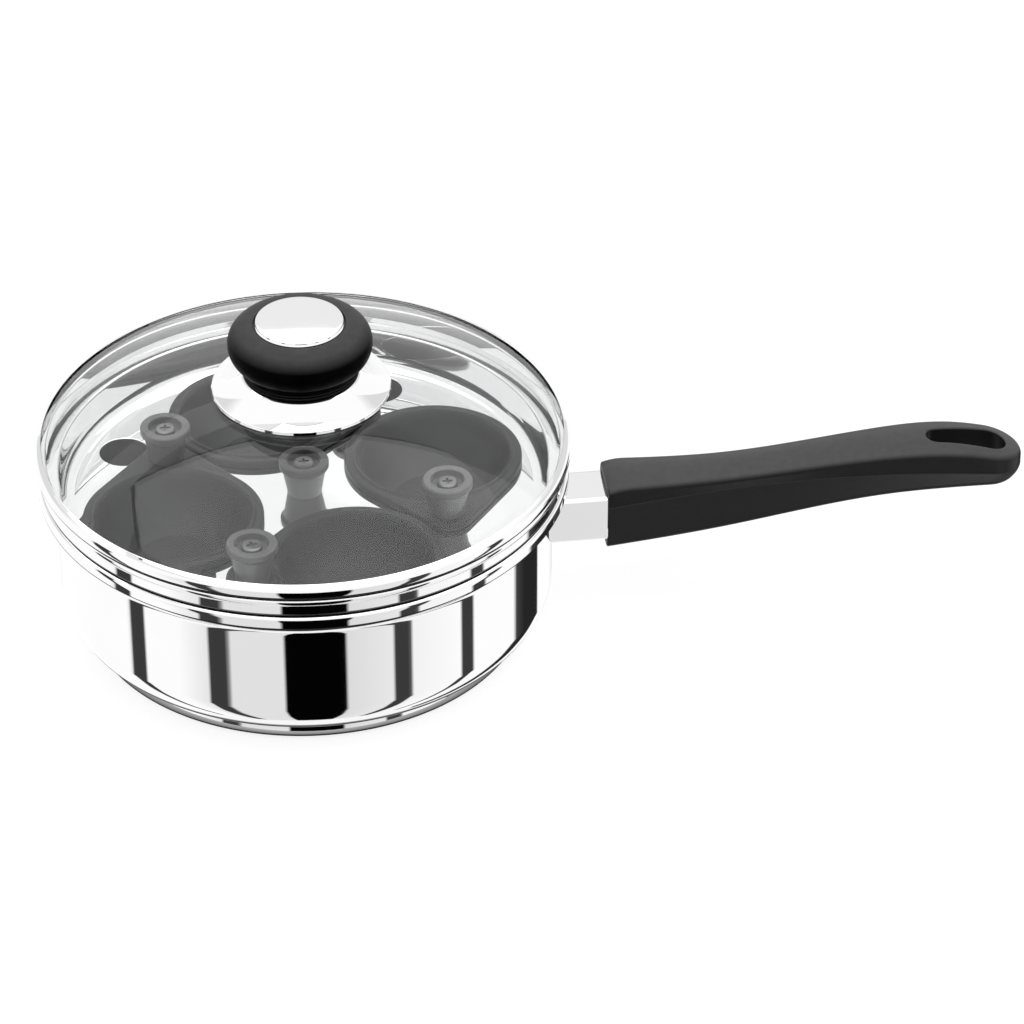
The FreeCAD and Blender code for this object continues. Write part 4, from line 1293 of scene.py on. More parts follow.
    def slot_wall(self) -> Array:
        """The hang slot's wall: rounded at the top face, straight down, and crisp at the underside.

        Returns:
            Grid of points, from the top face down.
        """
        bow = np.linspace(0, QUARTER_TURN, self.fine_bow)
        outline, outward = belt(self.slot_run, *self.slot_radii, HOLE_ROUND)
        outline = outline + np.array([self.slot_inner, 0.0])
        wide = np.concatenate((
            [self.slot_soft + SUPPORT], self.slot_soft * (1 - np.sin(bow)), [0.0, 0.0, self.slot_foot]))
        down = np.concatenate((
            [0.0], self.slot_soft * (1 - np.cos(bow)), [self.slot_soft + SUPPORT]))
        pairs = outline + wide[:, None, None] * outward
        upper = self.crowned(pairs[:len(down)])
        upper[:, :, 2] -= down[:, None]
        lower = self.sole(pairs[len(down):])
        lower[0, :, 2] += self.slot_foot
        return np.concatenate((upper, lower))

    def bore_wall(self) -> Array:
        """The screw's bore in the underside: up from the sole, then closed at the screw's seat.

        Returns:
            Grid of points.
        """
        ring = directions(np.arange(SMALL_ROUND) * FULL_TURN / SMALL_ROUND)
        centre = np.array([self.bore_at, 0.0])
        wide = self.bore_radius + np.array([self.bore_rim, self.bore_soft, 0.0])
        foot = self.sole(centre + wide[:, None, None] * ring)
        foot[-1, :, 2] += self.bore_soft
        rows = np.array([
            [self.bore_radius, self.bore_top - SUPPORT], [self.bore_radius, self.bore_top],
            [0.0, self.bore_top]])
        return np.concatenate((foot, spin(rows, SMALL_ROUND, (self.bore_at, 0.0))))

    def root_face(self, skin: Skin, side: Array, top: Array, sole: Array) -> None:
        """Closes the root with a flat face between the side's first and last columns.

        Args:
            skin: The grip's skin.
            side: The side grid.
            top: The top face's points across the root, left to right.
            sole: The underside's points across the root, left to right.
        """
        loop = np.concatenate((side[:, 0], top, side[::-1, -1], sole[::-1]))
        skin.sheet([loop[:, 1:]], lambda pairs: np.column_stack((np.full(len(pairs), self.start), pairs)))

    def grip(self) -> bpy.types.Object:
        """The grip: side wall, top and underside with the slot, the screw's bore and the root.

        Returns:
            The new piece.
        """
        skin = Skin()
        side = self.side_wall()
        slot = self.slot_wall()
        bore = self.bore_wall()
        skin.grid(side, ring=False).grid(slot).grid(bore)
        ladder = np.linspace(1, -1, self.root_columns)[1:-1]
        root = np.full_like(ladder, self.start)
        top_root = np.stack((root, ladder * side[-1, 0, 1]), axis=-1)
        sole_root = np.stack((root, ladder * side[0, 0, 1]), axis=-1)
        top_loop = np.concatenate((side[-1, :, :2], top_root[::-1]))
        sole_loop = np.concatenate((side[0, :, :2], sole_root[::-1]))
        sole_loops = [sole_loop, slot[-1, :, :2], bore[0, :, :2]]
        skin.sheet([top_loop, slot[0, :, :2]], self.crowned, self.free_points(*self.top_free))
        skin.sheet(sole_loops, self.sole, self.free_points(*self.sole_free))
        self.root_face(skin, side, self.crowned(top_root), self.sole(sole_root))
        return skin.make("grip_moulding", self.crease)

    def free_points(self, inset: float, clear: float) -> Array:
        """Evenly spread points of a face, clear of its edge, the slot and the bore.

        Args:
            inset: The face's edge, in from the parting line.
            clear: Least distance from the slot and bore.

        Returns:
            Points in plan.
        """
        along = np.arange(self.start + self.free_start, self.start + self.length, self.free_pitch)
        across = np.linspace(-self.free_half, self.free_half, self.free_columns)
        pairs = np.stack(np.meshgrid(along, across), axis=-1).reshape(-1, 2)
        x, y = pairs.T
        edge = inset + self.free_margin
        ahead = np.maximum(x - self.end_centre, 0.0) / (self.tip_round - edge)
        aside = y / (self.half_width(x) - edge)
        share = np.clip((x - self.slot_inner) / self.slot_run, 0.0, 1.0)
        near = np.hypot(x - self.slot_inner - share * self.slot_run, y)
        radius = self.slot_radii[0] + share * (self.slot_radii[1] - self.slot_radii[0])
        bore = np.hypot(x - self.bore_at, y) > self.bore_radius + self.free_bore
        keep = (ahead**2 + aside**2 < 1) & (near > radius + self.slot_soft + clear) & bore
        return pairs[keep]

    def guard_loop(self, inset: float) -> Array:
        """The flame guard's rounded section, drawn in by an inset.

        Args:
            inset: How far in.

        Returns:
            Closed loop of y and z pairs.
        """
        wide = self.guard_width / 2 - inset
        tall = self.guard_height / 2 - inset
        bend = self.guard_round - inset
        turn = np.linspace(0, QUARTER_TURN, self.guard_bow)
        arc = np.array([wide, tall]) - bend + bend * directions(turn)
        first = np.concatenate((arc[:1] - [[0, SUPPORT]], arc, arc[-1:] - [[SUPPORT, 0]]))
        second = (first * [-1, 1])[::-1]
        half = np.concatenate((first, second))
        return np.concatenate((half, -half)) + np.array([0.0, self.axis])

    def guard(self) -> bpy.types.Object:
        """The flame guard: a rounded tube that starts where its lines meet the pan's wall.

        Each line starts at the root of the wall's radius squared less y squared.

        Returns:
            The new piece.
        """
        outer = self.guard_loop(0.0)
        inner = self.guard_loop(self.guard_sheet)
        share = np.array(self.guard_shares)
        rings = []
        for loop, order, far in ((outer, 1, self.start - self.guard_soft), (inner, -1, self.start)):
            near = np.sqrt(self.wall**2 - loop[:, 0] ** 2)
            x = near + (far - near) * share[::order, None]
            y = np.broadcast_to(loop[:, 0], x.shape)
            z = np.broadcast_to(loop[:, 1], x.shape)
            rings.append(np.stack((x, y, z), axis=-1))
        lip = self.guard_loop(self.guard_soft)
        rings.insert(1, np.stack((np.full(len(lip), self.start), lip[:, 0], lip[:, 1]), axis=-1)[None])
        return Skin().grid(np.concatenate(rings), loop=True).make("flame_guard", self.crease)

    def build(self, palette: Palette) -> None:
        """Builds and dresses the handle.

        Args:
            palette: The finishes.
        """
        palette.dress(self.guard(), "pan", Slot.STEEL, "handle_ferrule")
        palette.dress(self.grip(), "pan", Slot.PHENOLIC, "handle_grip")
        palette.repaint(Slot.FIXING, "handle_bracket", "handle_screw", "handle_washer")


@dataclass
class SmallKnob:
    """A tapered lift-out knob with a collar, and a recess for its screw's head."""

    height: float = 14.5
    foot: float = 6.5
    waist: float = 8.4
    collar: float = 9.6
    collar_height: float = 2.8
    edge: float = 0.8
    recess: float = 6.4
    recess_depth: float = 3.0
    bore: float = 2.15
    foot_soft: float = 0.4
    waist_soft: float = 1.0
    collar_soft: float = 0.5
    recess_soft: float = 0.35
    seat_soft: float = 0.5

    def piece(self, name: str, centre: Pair, stand: float) -> bpy.types.Object:
        """Turns one knob.

        Args:
            name: Name of the piece.
            centre: Where its axis stands.
            stand: Height of its foot.

        Returns:
            The new piece.
        """
        top = stand + self.height
        shoulder = top - self.collar_height
        seat = top - self.recess_depth
        return turned_piece(name, [
            Corner(self.bore, stand),
            Corner(self.foot, stand, soft=self.foot_soft),
            Corner(self.waist, shoulder - (self.collar - self.waist), soft=self.waist_soft),
            Corner(self.collar, shoulder, soft=self.collar_soft),
            Corner(self.collar, top, soft=self.edge),
            Corner(self.recess, top, soft=self.recess_soft),
            Corner(self.recess, seat, soft=self.seat_soft),
            Corner(self.bore, seat),
        ], closed=True, segments=SMALL_ROUND, centre=centre)


@dataclass
class PoachingTray:
    """The spun tray that hangs in the pan, and the knob in its middle."""

    sheet: float = 0.8
    top: float = 53.5
    flat: float = 88.2
    corner: float = 5.0
    inside: float = 93.2
    ledge: float = 67.8
    band: float = 101.0
    bead: float = 1.6
    bead_reach: float = 1.0
    rim_top: float = 75.5
    cup_hole: float = 31.4
    steam_pitch: float = 76.0
    steam_hole: float = 9.5
    steam_angles: Floats = (62.0, 152.0)
    screw_hole: float = 2.15
    hole_soft: float = 0.38
    hole_flat: float = 0.4
    shelf_soft: float = 0.8
    bead_soft: float = 0.5
    band_soft: float = 0.8
    wall_soft: float = 0.4
    shaded: float = 2.0
    band_reach: float = 2.0
    seam_gap: float = 0.1
    seam_lean: float = 0.35

    def holes(self) -> list[tuple[Array, float, int]]:
        """Every hole in the flat: the screw's, the cups' and the steam holes.

        Returns:
            Centre, radius and columns of each.
        """
        cups = [EggCup(number).centre for number in range(1, CUP_COUNT + 1)]
        steam = self.steam_pitch * directions(np.radians(self.steam_angles))
        return [
            (np.zeros(2), self.screw_hole, SMALL_ROUND),
            *[(centre, self.cup_hole, MIDDLE_ROUND) for centre in cups],
            *[(centre, self.steam_hole, HOLE_ROUND) for centre in steam],
        ]

    def plate(self) -> bpy.types.Object:
        """The tray: a turned wall and rim, and a flat with rounded holes between two sheets.

        Returns:
            The new piece.
        """
        under = self.top - self.sheet
        wall = self.inside + self.sheet
        edge = self.flat - self.hole_flat
        middle = self.band + self.bead_reach - self.bead
        bead_z = self.rim_top - self.bead
        start = bead_z - math.sqrt(self.bead**2 - (self.band - middle) ** 2)
        shelf = self.ledge + self.sheet
        rows = section([
            Corner(edge, self.top),
            Corner(self.flat, self.top),
            Corner(self.inside, self.top + self.corner, radius=self.corner),
            Corner(self.inside, shelf, soft=self.shelf_soft),
            Corner(middle - self.bead, shelf, soft=self.bead_soft),
            Corner(middle - self.bead, bead_z),
            Corner(middle, self.rim_top, radius=self.bead, bend=Bend.RIGHT),
            Corner(middle + self.bead, bead_z, radius=self.bead, bend=Bend.RIGHT),
            Corner(self.band, start, radius=self.bead, bend=Bend.RIGHT),
            Corner(self.band, self.ledge, soft=self.band_soft),
            Corner(wall, self.ledge, soft=self.wall_soft),
            Corner(wall, self.top + self.corner),
            Corner(self.flat, under, radius=self.corner + self.sheet, bend=Bend.RIGHT),
            Corner(edge, under),
        ])
        skin = Skin()
        wall_grid = spin(rows, LARGE_ROUND)
        skin.grid(wall_grid)
        top_loops = [wall_grid[0, :, :2]]
        under_loops = [wall_grid[-1, :, :2]]
        for centre, radius, columns in self.holes():
            outer = radius + self.hole_soft + self.hole_flat
            lip = section([
                Corner(outer, self.top), Corner(radius, self.top, soft=self.hole_soft),
                Corner(radius, under, soft=self.hole_soft), Corner(outer, under),
            ])
            ring = spin(lip, columns, centre)
            skin.grid(ring)
            top_loops.append(ring[0, :, :2])
            under_loops.append(ring[-1, :, :2])
        skin.sheet(top_loops, lambda pairs: np.column_stack((pairs, np.full(len(pairs), self.top))))
        skin.sheet(under_loops, lambda pairs: np.column_stack((pairs, np.full(len(pairs), under))))
        return skin.make("tray_plate")

    def band_faces(self, faces: Faces) -> Array:
        """The faces low on the band, which the pan's rim keeps from the light, painted dark grey as
        painted shade.
        """
        low = (faces.radius > self.inside + self.band_reach) & (faces.height < self.ledge + self.shaded)
        return low & (faces.outward > LEANING)

    def ledge_faces(self, faces: Faces) -> Array:
        """The faces under the ledge, which stay in shadow over the pan's rim, painted near-black as
        painted shade.
        """
        outside = faces.radius > self.inside + self.sheet + faces.outward * self.seam_gap
        return outside & (faces.upward < -self.seam_lean) & (faces.height < self.ledge + self.sheet)

    def build(self, palette: Palette) -> None:
        """Builds and dresses the tray.

        Args:
            palette: The finishes.
        """
        plate = palette.dress(self.plate(), "insert", Slot.STEEL, "insert_plate")
        # Painted shade on the band low down and under the ledge.
        palette.second(plate, Look.PAINTED_SHADE_STEEL, self.band_faces)
        palette.second(plate, Look.PAINTED_SEAM_SHADE, self.ledge_faces)
        knob = SmallKnob().piece("tray_knob", (0.0, 0.0), self.top)
        palette.dress(knob, "insert", Slot.PHENOLIC, "insert_knob", look=Look.KNOB_PHENOLIC)
        palette.repaint(Slot.FIXING, "insert_knob_screw", look=Look.PAINTED_SHADE_SCREW)
        palette.repaint(Slot.FIXING, "insert_knob_nut")


@dataclass
class EggCup:
    """One non-stick cup with its teardrop flange and its knob."""

    number: int
    pitch: float = 53.3
    first_angle: float = 15.5
    tab_turn: float = 104.0
    swings: Floats = (0.0, 0.0, -1.8, 6.7)
    flange: float = 34.5
    tab_reach: float = 39.3
    tab: float = 10.0
    seat: float = 53.8
    rise: float = 2.8
    sheet: float = 1.0
    edge: float = 0.8
    mouth: float = 29.5
    floor: float = 15.0
    depth: float = 20.0
    curve: float = 26.0
    mouth_inset: float = 0.1
    mouth_drop: float = 0.25
    under_drop: float = 0.2
    past_lip: float = 0.6
    lip_width: float = 2.2
    lip_height: float = 0.7
    lip_soft: float = 0.4
    foot_soft: float = 0.15
    fold_soft: float = 0.3
    top_shares: Floats = (0.02, 0.25, 0.5, 0.75)
    under_shares: Floats = (0.33, 0.67, 0.97)
    columns: int = 336
    bow: int = 8

    @property
    def angle(self) -> float:
        """Direction from the tray's middle to the cup."""
        return math.radians(self.first_angle) + (self.number - 1) * FULL_TURN / CUP_COUNT

    @property
    def tab_angle(self) -> float:
        """Direction from the cup to its knob."""
        return self.angle - math.radians(self.tab_turn - self.swings[self.number - 1])

    @property
    def centre(self) -> Array:
        """The cup's middle in plan."""
        return self.pitch * directions(self.angle)

    @property
    def knob_centre(self) -> Array:
        """The knob's middle in plan."""
        return self.centre + self.tab_reach * directions(self.tab_angle)

    def bowl_rows(self) -> tuple[Array, Array]:
        """Sections of the bowl inside, up to the flange past the lip, and of the bowl outside.

        Returns:
            Rows of radius and height from the pole outward, inside and outside.
        """
        low = self.rise - self.depth
        lip = self.mouth + self.lip_width
        crest = self.rise + self.lip_height
        wide = self.mouth + self.sheet
        under = self.rise - self.sheet
        inside = section([
            Corner(0, low),
            Corner(self.floor, low),
            Corner(self.mouth - self.mouth_inset, self.rise - self.mouth_drop, radius=self.curve),
            Corner(self.mouth + self.lip_height, crest, soft=self.lip_soft),
            Corner(lip - self.lip_height, crest, soft=self.lip_soft),
            Corner(lip, self.rise, soft=self.lip_soft),
            Corner(lip + self.past_lip, self.rise),
        ])
        outside = section([
            Corner(0, low - self.sheet),
            Corner(self.floor, low - self.sheet),
            Corner(wide, under - self.under_drop, radius=self.curve + self.sheet),
            Corner(wide + self.past_lip, under),
        ])
        return inside, outside

    def shell(self) -> bpy.types.Object:
        """The cup as one closed grid about its own middle, with its tab along its own X.

        Bowl rows are circles at the polar angles of the flange's belt, the flange's top lies evenly
        between the last circle and the belt, and edge rows are the belt drawn in by a quarter circle.

        Returns:
            The new piece.
        """
        outline, outward = belt(self.tab_reach, self.flange, self.tab, self.columns)
        round_way = directions(np.arctan2(outline[:, 1], outline[:, 0]))
        inside, outside = self.bowl_rows()
        under = self.rise - self.sheet
        bow = np.linspace(0, QUARTER_TURN, self.bow)
        drawn = np.concatenate((
            [self.edge + SUPPORT], self.edge * (1 - np.sin(bow)),
            [0.0, 0.0, self.foot_soft, self.sheet - self.foot_soft],
            [self.sheet, self.sheet, self.sheet + self.fold_soft]))
        level = np.concatenate((
            [self.rise], self.rise - self.edge * (1 - np.cos(bow)),
            [self.rise - self.edge - SUPPORT, self.foot_soft, 0.0, 0.0],
            [self.foot_soft, under - self.fold_soft, under]))
        edge = outline - drawn[:, None, None] * outward
        bowl_in = inside[:, :1, None] * round_way
        bowl_out = outside[::-1, :1, None] * round_way
        top_share = np.array(self.top_shares)
        under_share = np.array(self.under_shares)
        top = bowl_in[-1] + (edge[0] - bowl_in[-1]) * top_share[:, None, None]
        below = edge[-1] + (bowl_out[0] - edge[-1]) * under_share[:, None, None]
        pairs = np.concatenate((bowl_in, top, edge, below, bowl_out))
        height = np.concatenate((
            inside[:, 1], np.full_like(top_share, self.rise), level, np.full_like(under_share, under),
            outside[::-1, 1]))
        turn = directions(self.tab_angle + np.array([0.0, QUARTER_TURN]))
        placed = pairs @ turn + self.centre
        z = np.broadcast_to((height + self.seat)[:, None, None], (*placed.shape[:2], 1))
        return Skin().grid(np.concatenate((placed, z), axis=-1)).make(f"cup_shell_{self.number}")

    def build(self, palette: Palette) -> None:
        """Builds and dresses the cup and its knob.

        Args:
            palette: The finishes.
        """
        body = f"cup_{self.number}"
        palette.dress(self.shell(), body, Slot.NON_STICK, f"egg_cup_{self.number}")
        stand = self.seat + self.rise
        knob = SmallKnob().piece(f"cup_lift_knob_{self.number}", tuple(self.knob_centre), stand)
        palette.dress(knob, body, Slot.PHENOLIC, f"cup_knob_{self.number}", look=Look.KNOB_PHENOLIC)
        palette.repaint(Slot.FIXING, f"cup_knob_screw_{self.number}", look=Look.PAINTED_SHADE_SCREW)
        palette.repaint(Slot.FIXING, f"cup_knob_nut_{self.number}")


@dataclass
class Lid:
    """The glass dome, its band, its flange and the mushroom knob."""

    band: float = 103.0
    sheet: float = 0.6
    band_round: float = 2.0
    cover: float = 3.1
    band_bottom: float = 75.8
    skirt: float = 98.0
    skirt_depth: float = 4.0
    glass: float = 101.0
    thick: float = 3.5
    gap: float = 0.1
    dome: float = 222.0
    hole: float = 4.0
    ground: float = 0.4
    glass_rows: int = 33
    band_soft: float = 0.5
    cut_soft: float = 0.22
    flange: float = 34.2
    flange_edge: float = 1.2
    flange_lift: float = 0.5
    flange_tilt: float = 0.2
    lip_round: float = 3.1
    flange_curve: float = 22.0
    flange_soft: float = 0.25
    gasket: float = 3.6
    flange_bore: float = 2.65
    neck: float = 22.0
    collar: float = 22.3
    neck_height: float = 5.8
    widest: float = 27.5
    widest_at: float = 13.5
    knob_height: float = 23.4
    ridge_drops: Pair = (4.2, 3.0)
    ridge: float = 0.28
    ridge_half: float = 0.4
    ridge_soft: float = 0.15
    foot_soft: float = 0.3
    head_root: float = 0.7
    head_soft: float = 0.4
    head_rows: int = 19
    inlay: float = 17.1
    inlay_depth: float = 2.2
    inlay_proud: float = 1.4
    inlay_tilt: float = 0.45
    inlay_dome: float = 0.175
    inlay_edge: float = 0.45
    pocket_gap: float = 0.45
    pocket_edge: float = 0.35
    pocket_soft: float = 0.3
    inlay_rows: int = 25
    seam_gap: float = 0.1
    seam_lean: float = 0.15
    insert_bore: float = 5.1
    insert_depth: float = 12.0

    @property
    def dome_centre(self) -> float:
        """Height of the dome's centre."""
        floor = self.band_bottom + self.sheet + self.gap
        return floor - math.sqrt((self.dome - self.thick) ** 2 - self.glass**2)

    def glass_top(self, radius: float | Array) -> float | Array:
        """Height of the glass's upper face at a radius."""
        return self.dome_centre + np.sqrt(self.dome**2 - radius**2)

    def glass_under(self, radius: float | Array) -> float | Array:
        """Height of the glass's lower face at a radius."""
        return self.dome_centre + np.sqrt((self.dome - self.thick) ** 2 - radius**2)

    @property
    def flange_top(self) -> float:
        """Height of the flange's flat, where the knob stands."""
        return self.glass_top(self.hole) + self.gasket + self.sheet

    def glass_piece(self) -> bpy.types.Object:
        """The glass between two spheres about one centre, with ground edges.

        Returns:
            The new piece.
        """
        edge = self.glass - self.ground
        start = self.hole + self.ground
        radius = start + (edge - start) * np.linspace(0.0, 1.0, self.glass_rows)
        upper = np.column_stack((radius, self.glass_top(radius)))
        lower = np.column_stack((radius, self.glass_under(radius)))[::-1]
        rim = np.array([
            [self.glass, self.glass_top(edge) - self.ground],
            [self.glass, self.glass_under(edge) + self.ground]])
        bore = np.array([
            [self.hole, self.glass_under(self.hole) + self.ground],
            [self.hole, self.glass_top(self.hole) - self.ground]])
        rows = np.concatenate((upper, rim, lower, bore))
        return Skin().grid(spin(rows, LARGE_ROUND), loop=True).make("lid_dome")

    def band_piece(self) -> bpy.types.Object:
        """The band: skirt, floor, rounded outside and a lip that lies over the glass.

        Returns:
            The new piece.
        """
        inner = self.band - self.sheet
        tip = self.band - self.cover
        tip_under = self.glass_top(tip) + self.gap
        shoulder = self.glass_top(inner) + self.gap
        hem = self.band_bottom - self.skirt_depth
        lower = self.band_bottom + self.band_round
        floor = self.band_bottom + self.sheet
        turn_in = self.band - self.band_round
        return turned_piece("lid_band", [
            Corner(self.skirt - self.sheet, hem, soft=self.cut_soft),
            Corner(self.skirt, hem, soft=self.cut_soft),
            Corner(self.skirt, self.band_bottom, soft=self.band_soft),
            Corner(turn_in, self.band_bottom),
            Corner(self.band, lower, radius=self.band_round),
            Corner(self.band, shoulder + self.sheet / 2, soft=self.lip_round),
            Corner(tip, tip_under + self.sheet, soft=self.cut_soft),
            Corner(tip, tip_under, soft=self.cut_soft),
            Corner(inner, shoulder),
            Corner(inner, lower),
            Corner(turn_in, floor, radius=self.band_round - self.sheet, bend=Bend.RIGHT),
            Corner(self.skirt - self.sheet, floor, soft=self.band_soft),
        ], closed=True)

    def flange_piece(self) -> bpy.types.Object:
        """The splash flange: flat under the knob, then hollow down to a turned-down edge.

        Returns:
            The new piece.
        """
        low = self.glass_top(self.flange) + self.flange_lift
        high = low + self.flange_edge
        under = self.flange_top - self.sheet
        inner = self.flange - self.sheet
        return turned_piece("splash_flange", [
            Corner(self.flange_bore, under),
            Corner(self.neck, under),
            Corner(inner - self.flange_tilt, high - self.sheet, radius=self.flange_curve + self.sheet),
            Corner(inner, low),
            Corner(self.flange, low),
            Corner(self.flange - self.flange_tilt, high - self.flange_soft),
            Corner(self.flange - self.flange_tilt - self.flange_soft, high, radius=self.flange_soft),
            Corner(self.neck + self.sheet, self.flange_top, radius=self.flange_curve, bend=Bend.RIGHT),
            Corner(self.flange_bore, self.flange_top),
        ], closed=True, segments=MIDDLE_ROUND)

    def neck_corners(self) -> list[Corner]:
        """The knob's neck: a taper with two fine rings, rounded under the head.

        Returns:
            Corners from the insert's bore to the root of the head.
        """
        foot = self.flange_top
        shoulder = foot + self.neck_height
        slope = (self.collar - self.neck) / self.neck_height
        half = self.ridge_half
        soft = self.ridge_soft
        corners = [Corner(self.insert_bore, foot), Corner(self.neck, foot, soft=self.foot_soft)]
        for drop in self.ridge_drops:
            at = self.neck_height - drop
            radius = self.neck + slope * at
            corners += [
                Corner(radius - slope * half, foot + at - half, soft=soft),
                Corner(radius + self.ridge, foot + at, soft=soft),
                Corner(radius + slope * half, foot + at + half, soft=soft),
            ]
        corners += [
            Corner(self.collar, shoulder - self.head_root, soft=self.head_soft),
            Corner(self.collar - self.head_root, shoulder),
        ]
        return corners

    def knob_piece(self) -> bpy.types.Object:
        """The mushroom knob: its neck, a head of two quarter ellipses and the inlay's pocket.

        From the widest circle the head falls to the neck and rises to the pocket's edge, upright at
        the widest circle and level at both ends.

        Returns:
            The new piece.
        """
        foot = self.flange_top
        shoulder = foot + self.neck_height
        widest = foot + self.widest_at
        top = foot + self.knob_height
        edge = top - self.inlay_proud
        pocket = self.inlay + self.pocket_gap
        lip = pocket + self.pocket_edge
        root = self.collar - self.head_root
        seat = top - self.inlay_depth
        bore_top = foot + self.insert_depth
        turn = np.linspace(0, QUARTER_TURN, self.head_rows)[1:]
        under = np.stack((
            root + (self.widest - root) * np.sin(turn),
            widest - (widest - shoulder) * np.cos(turn)), axis=-1)
        over = np.stack((
            lip + (self.widest - lip) * np.cos(turn),
            widest + (edge - widest) * np.sin(turn)), axis=-1)
        inner = section([
            Corner(lip, edge),
            Corner(pocket, edge, soft=self.pocket_soft),
            Corner(pocket, seat),
            Corner(0, seat),
            Corner(0, bore_top),
            Corner(self.insert_bore, bore_top),
        ])
        rows = np.concatenate((section(self.neck_corners()), under, over, inner[1:]))
        return Skin().grid(spin(rows, MIDDLE_ROUND), loop=True).make("lid_grip_knob")

    def inlay_piece(self) -> bpy.types.Object:
        """The steel inlay: a disc with a rounded edge and a top that falls with the square of radius.

        Returns:
            The new piece.
        """
        top = self.flange_top + self.knob_height
        brim = top - self.inlay_dome
        flat = self.inlay - self.inlay_tilt - self.inlay_edge
        side = section([
            Corner(0, top - self.inlay_depth),
            Corner(self.inlay, top - self.inlay_depth),
            Corner(self.inlay, top - self.inlay_proud),
            Corner(self.inlay - self.inlay_tilt, brim - self.inlay_edge),
            Corner(flat, brim, radius=self.inlay_edge),
        ])
        share = np.linspace(1, 0, self.inlay_rows)[1:]
        crown = np.stack((flat * share, top - self.inlay_dome * share**2), axis=-1)
        return Skin().grid(spin(np.concatenate((side, crown)), MIDDLE_ROUND)).make("knob_inlay")

    def lip_faces(self, faces: Faces) -> Array:
        """The cut edge of the band's lip, which stays in shadow over the glass, painted near-black as
        painted shade.
        """
        tip = self.band - self.cover
        inner = (faces.radius < tip + self.seam_gap) & (faces.height > self.glass_top(tip))
        return inner & (faces.outward < -FACING)

    def flange_faces(self, faces: Faces) -> Array:
        """The flange's upper face inside its edge."""
        inside = faces.radius < self.flange - self.flange_tilt - self.flange_soft
        return inside & (faces.upward > FACING)

    def band_underside(self, faces: Faces) -> Array:
        """The faces under the band, which stay in shadow over the tray's rim, painted near-black as
        painted shade.
        """
        outside = faces.radius > self.skirt + faces.outward * self.seam_gap
        low = faces.height < self.band_bottom + self.band_round
        return outside & low & (faces.upward < -self.seam_lean)

    def build(self, palette: Palette) -> None:
        """Builds and dresses the lid.

        Args:
            palette: The finishes.
        """
        palette.dress(self.glass_piece(), "lid", Slot.GLASS, "lid_glass")
        band = palette.dress(self.band_piece(), "lid", Slot.STEEL, "lid_rim")
        # Painted shade under the band and on its lip's cut edge.
        palette.second(band, Look.PAINTED_SEAM_SHADE, self.band_underside)
        palette.second(band, Look.PAINTED_SEAM_SHADE, self.lip_faces)
        flange = palette.dress(self.flange_piece(), "lid", Slot.STEEL, "lid_flange")
        palette.second(flange, Look.TIPPED_STEEL, self.flange_faces)
        palette.dress(self.knob_piece(), "lid", Slot.PHENOLIC, "lid_knob", look=Look.LID_PHENOLIC)
        palette.dress(self.inlay_piece(), "lid", Slot.STEEL, "lid_knob_inlay")
        palette.repaint(Slot.SILICONE, "lid_gasket_upper", "lid_gasket_lower")
        palette.repaint(Slot.FIXING, "lid_washer", "lid_screw")
        palette.repaint(Slot.BRASS, "lid_knob_insert")


